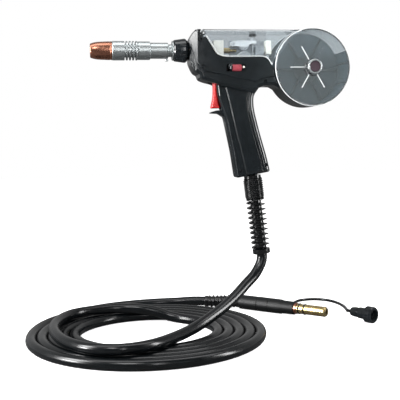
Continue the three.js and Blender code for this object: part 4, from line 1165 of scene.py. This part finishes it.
def makeWorld():
    world = bpy.data.worlds.new("studio")
    bpy.context.scene.world = world
    world.use_nodes = True
    tree = world.node_tree
    tree.nodes.clear()
    output = addNode(tree, "ShaderNodeOutputWorld")
    path = addNode(tree, "ShaderNodeLightPath")
    direction = addNode(tree, "ShaderNodeSeparateXYZ",
                        {"Vector": addNode(tree, "ShaderNodeTexCoord").outputs["Generated"]})
    sweep = addNode(tree, "ShaderNodeMapRange", {
        "Value": direction.outputs["Y"], "From Min": -0.5, "From Max": 0.5,
        "To Min": studio["roomGlow"], "To Max": studio["backGlow"]},
        interpolation_type="SMOOTHSTEP")
    gloss = addNode(tree, "ShaderNodeMath", {0: sweep.outputs["Result"], 1: studio["glossShare"]},
                    operation="MULTIPLY")
    level = studio["ambient"]
    for ray, seen in (("Is Glossy Ray", gloss.outputs["Value"]),
                      ("Is Transmission Ray", sweep.outputs["Result"]), ("Is Camera Ray", 1.0)):
        level = addNode(tree, "ShaderNodeMix", {
            "Factor": path.outputs[ray], "A": level, "B": seen}).outputs["Result"]
    background = addNode(tree, "ShaderNodeBackground", {"Strength": level})
    background.inputs["Color"].default_value = (1, 1, 1, 1)
    tree.links.new(background.outputs["Background"], output.inputs["Surface"])


def makeFloor():
    size = studio["floorSize"]
    mesh = bpy.data.meshes.new("floor")
    z = gun["floor"] * toMetres
    mesh.from_pydata([(-size, -size, z), (size, -size, z), (size, size, z), (-size, size, z)], [],
                     [(0, 1, 2, 3)])
    floor = addObject("floor", mesh)
    made = bpy.data.materials.new("whitePaperSweep")
    made.use_nodes = True
    tree = made.node_tree
    tree.nodes.clear()
    output = addNode(tree, "ShaderNodeOutputMaterial")
    path = addNode(tree, "ShaderNodeLightPath")
    tone = addNode(tree, "ShaderNodeMix", {
        "Factor": path.outputs["Is Glossy Ray"], "A": studio["paper"],
        "B": studio["paperInGloss"]}).outputs["Result"]
    paper = addNode(tree, "ShaderNodeBsdfDiffuse", {"Color": tone})
    seen = addNode(tree, "ShaderNodeMath", {
        0: path.outputs["Is Camera Ray"], 1: path.outputs["Is Transmission Ray"]},
        operation="MAXIMUM")
    gloss = addNode(tree, "ShaderNodeMath", {
        0: path.outputs["Is Glossy Ray"], 1: studio["floorGloss"]}, operation="MULTIPLY")
    lift = addNode(tree, "ShaderNodeMath", {
        0: seen.outputs["Value"], 1: studio["floorLift"], 2: gloss.outputs["Value"]},
        operation="MULTIPLY_ADD")
    glow = addNode(tree, "ShaderNodeEmission", {"Strength": lift.outputs["Value"]})
    both = addNode(tree, "ShaderNodeAddShader",
                   {0: paper.outputs["BSDF"], 1: glow.outputs["Emission"]})
    tree.links.new(both.outputs["Shader"], output.inputs["Surface"])
    mesh.materials.append(made)


# softboxes: place, target, width and height in metres, power in watts, and colour
paperWhite = (1, 1, 1)
softboxes = {
    # the white in the head's front facet, and the line down the step in the grip
    "left": ((-1.5, -0.25, 0.65), (-0.08, 0, 0.12), 0.6, 0.66, 26.0, paperWhite),
    "leftStrip": ((-1.5, -0.35, -0.04), (0.0, 0, 0.0), 0.4, 0.3, 20.0, paperWhite),
    # a long box for the cable's highlights, and a general one from the camera's left
    "overhead": ((0.0, -0.15, 1.15), (0.0, 0, 0.0), 2.4, 0.5, 12.0, paperWhite),
    "front": ((-0.9, -1.5, 1.3), (0.0, 0, 0.0), 0.6, 0.6, 12.0, paperWhite),
    # what the barrel mirrors, and a dim bluish card that the clear cover and its nut mirror
    "barrelCard": ((-0.04, -1.5, 0.42), (-0.15, 0, 0.13), 0.18, 0.8, 3.2, paperWhite),
    "frontRight": ((0.585, -1.5, 0.265), (0.1, 0, 0.1), 0.36, 0.34, 0.36, (0.84, 0.98, 1)),
    # the edges of the flutes down the grip's back
    "right": ((1.2, -0.5, 0.2), (0.05, 0, 0.0), 0.26, 0.9, 16.0, paperWhite),
}


def makeLights():
    for name, (spot, target, width, height, power, colour) in softboxes.items():
        data = bpy.data.lights.new(name, "AREA")
        data.shape = "RECTANGLE"
        data.size, data.size_y, data.energy, data.color = width, height, power, colour
        lamp = addObject(name, data)
        lamp.location = spot
        lamp.rotation_euler = (Vector(target) - Vector(spot)).to_track_quat("-Z", "Y").to_euler()


makeWorld()
makeFloor()
makeLights()
bpy.context.scene.view_settings.view_transform = "Standard"
print("studio made")
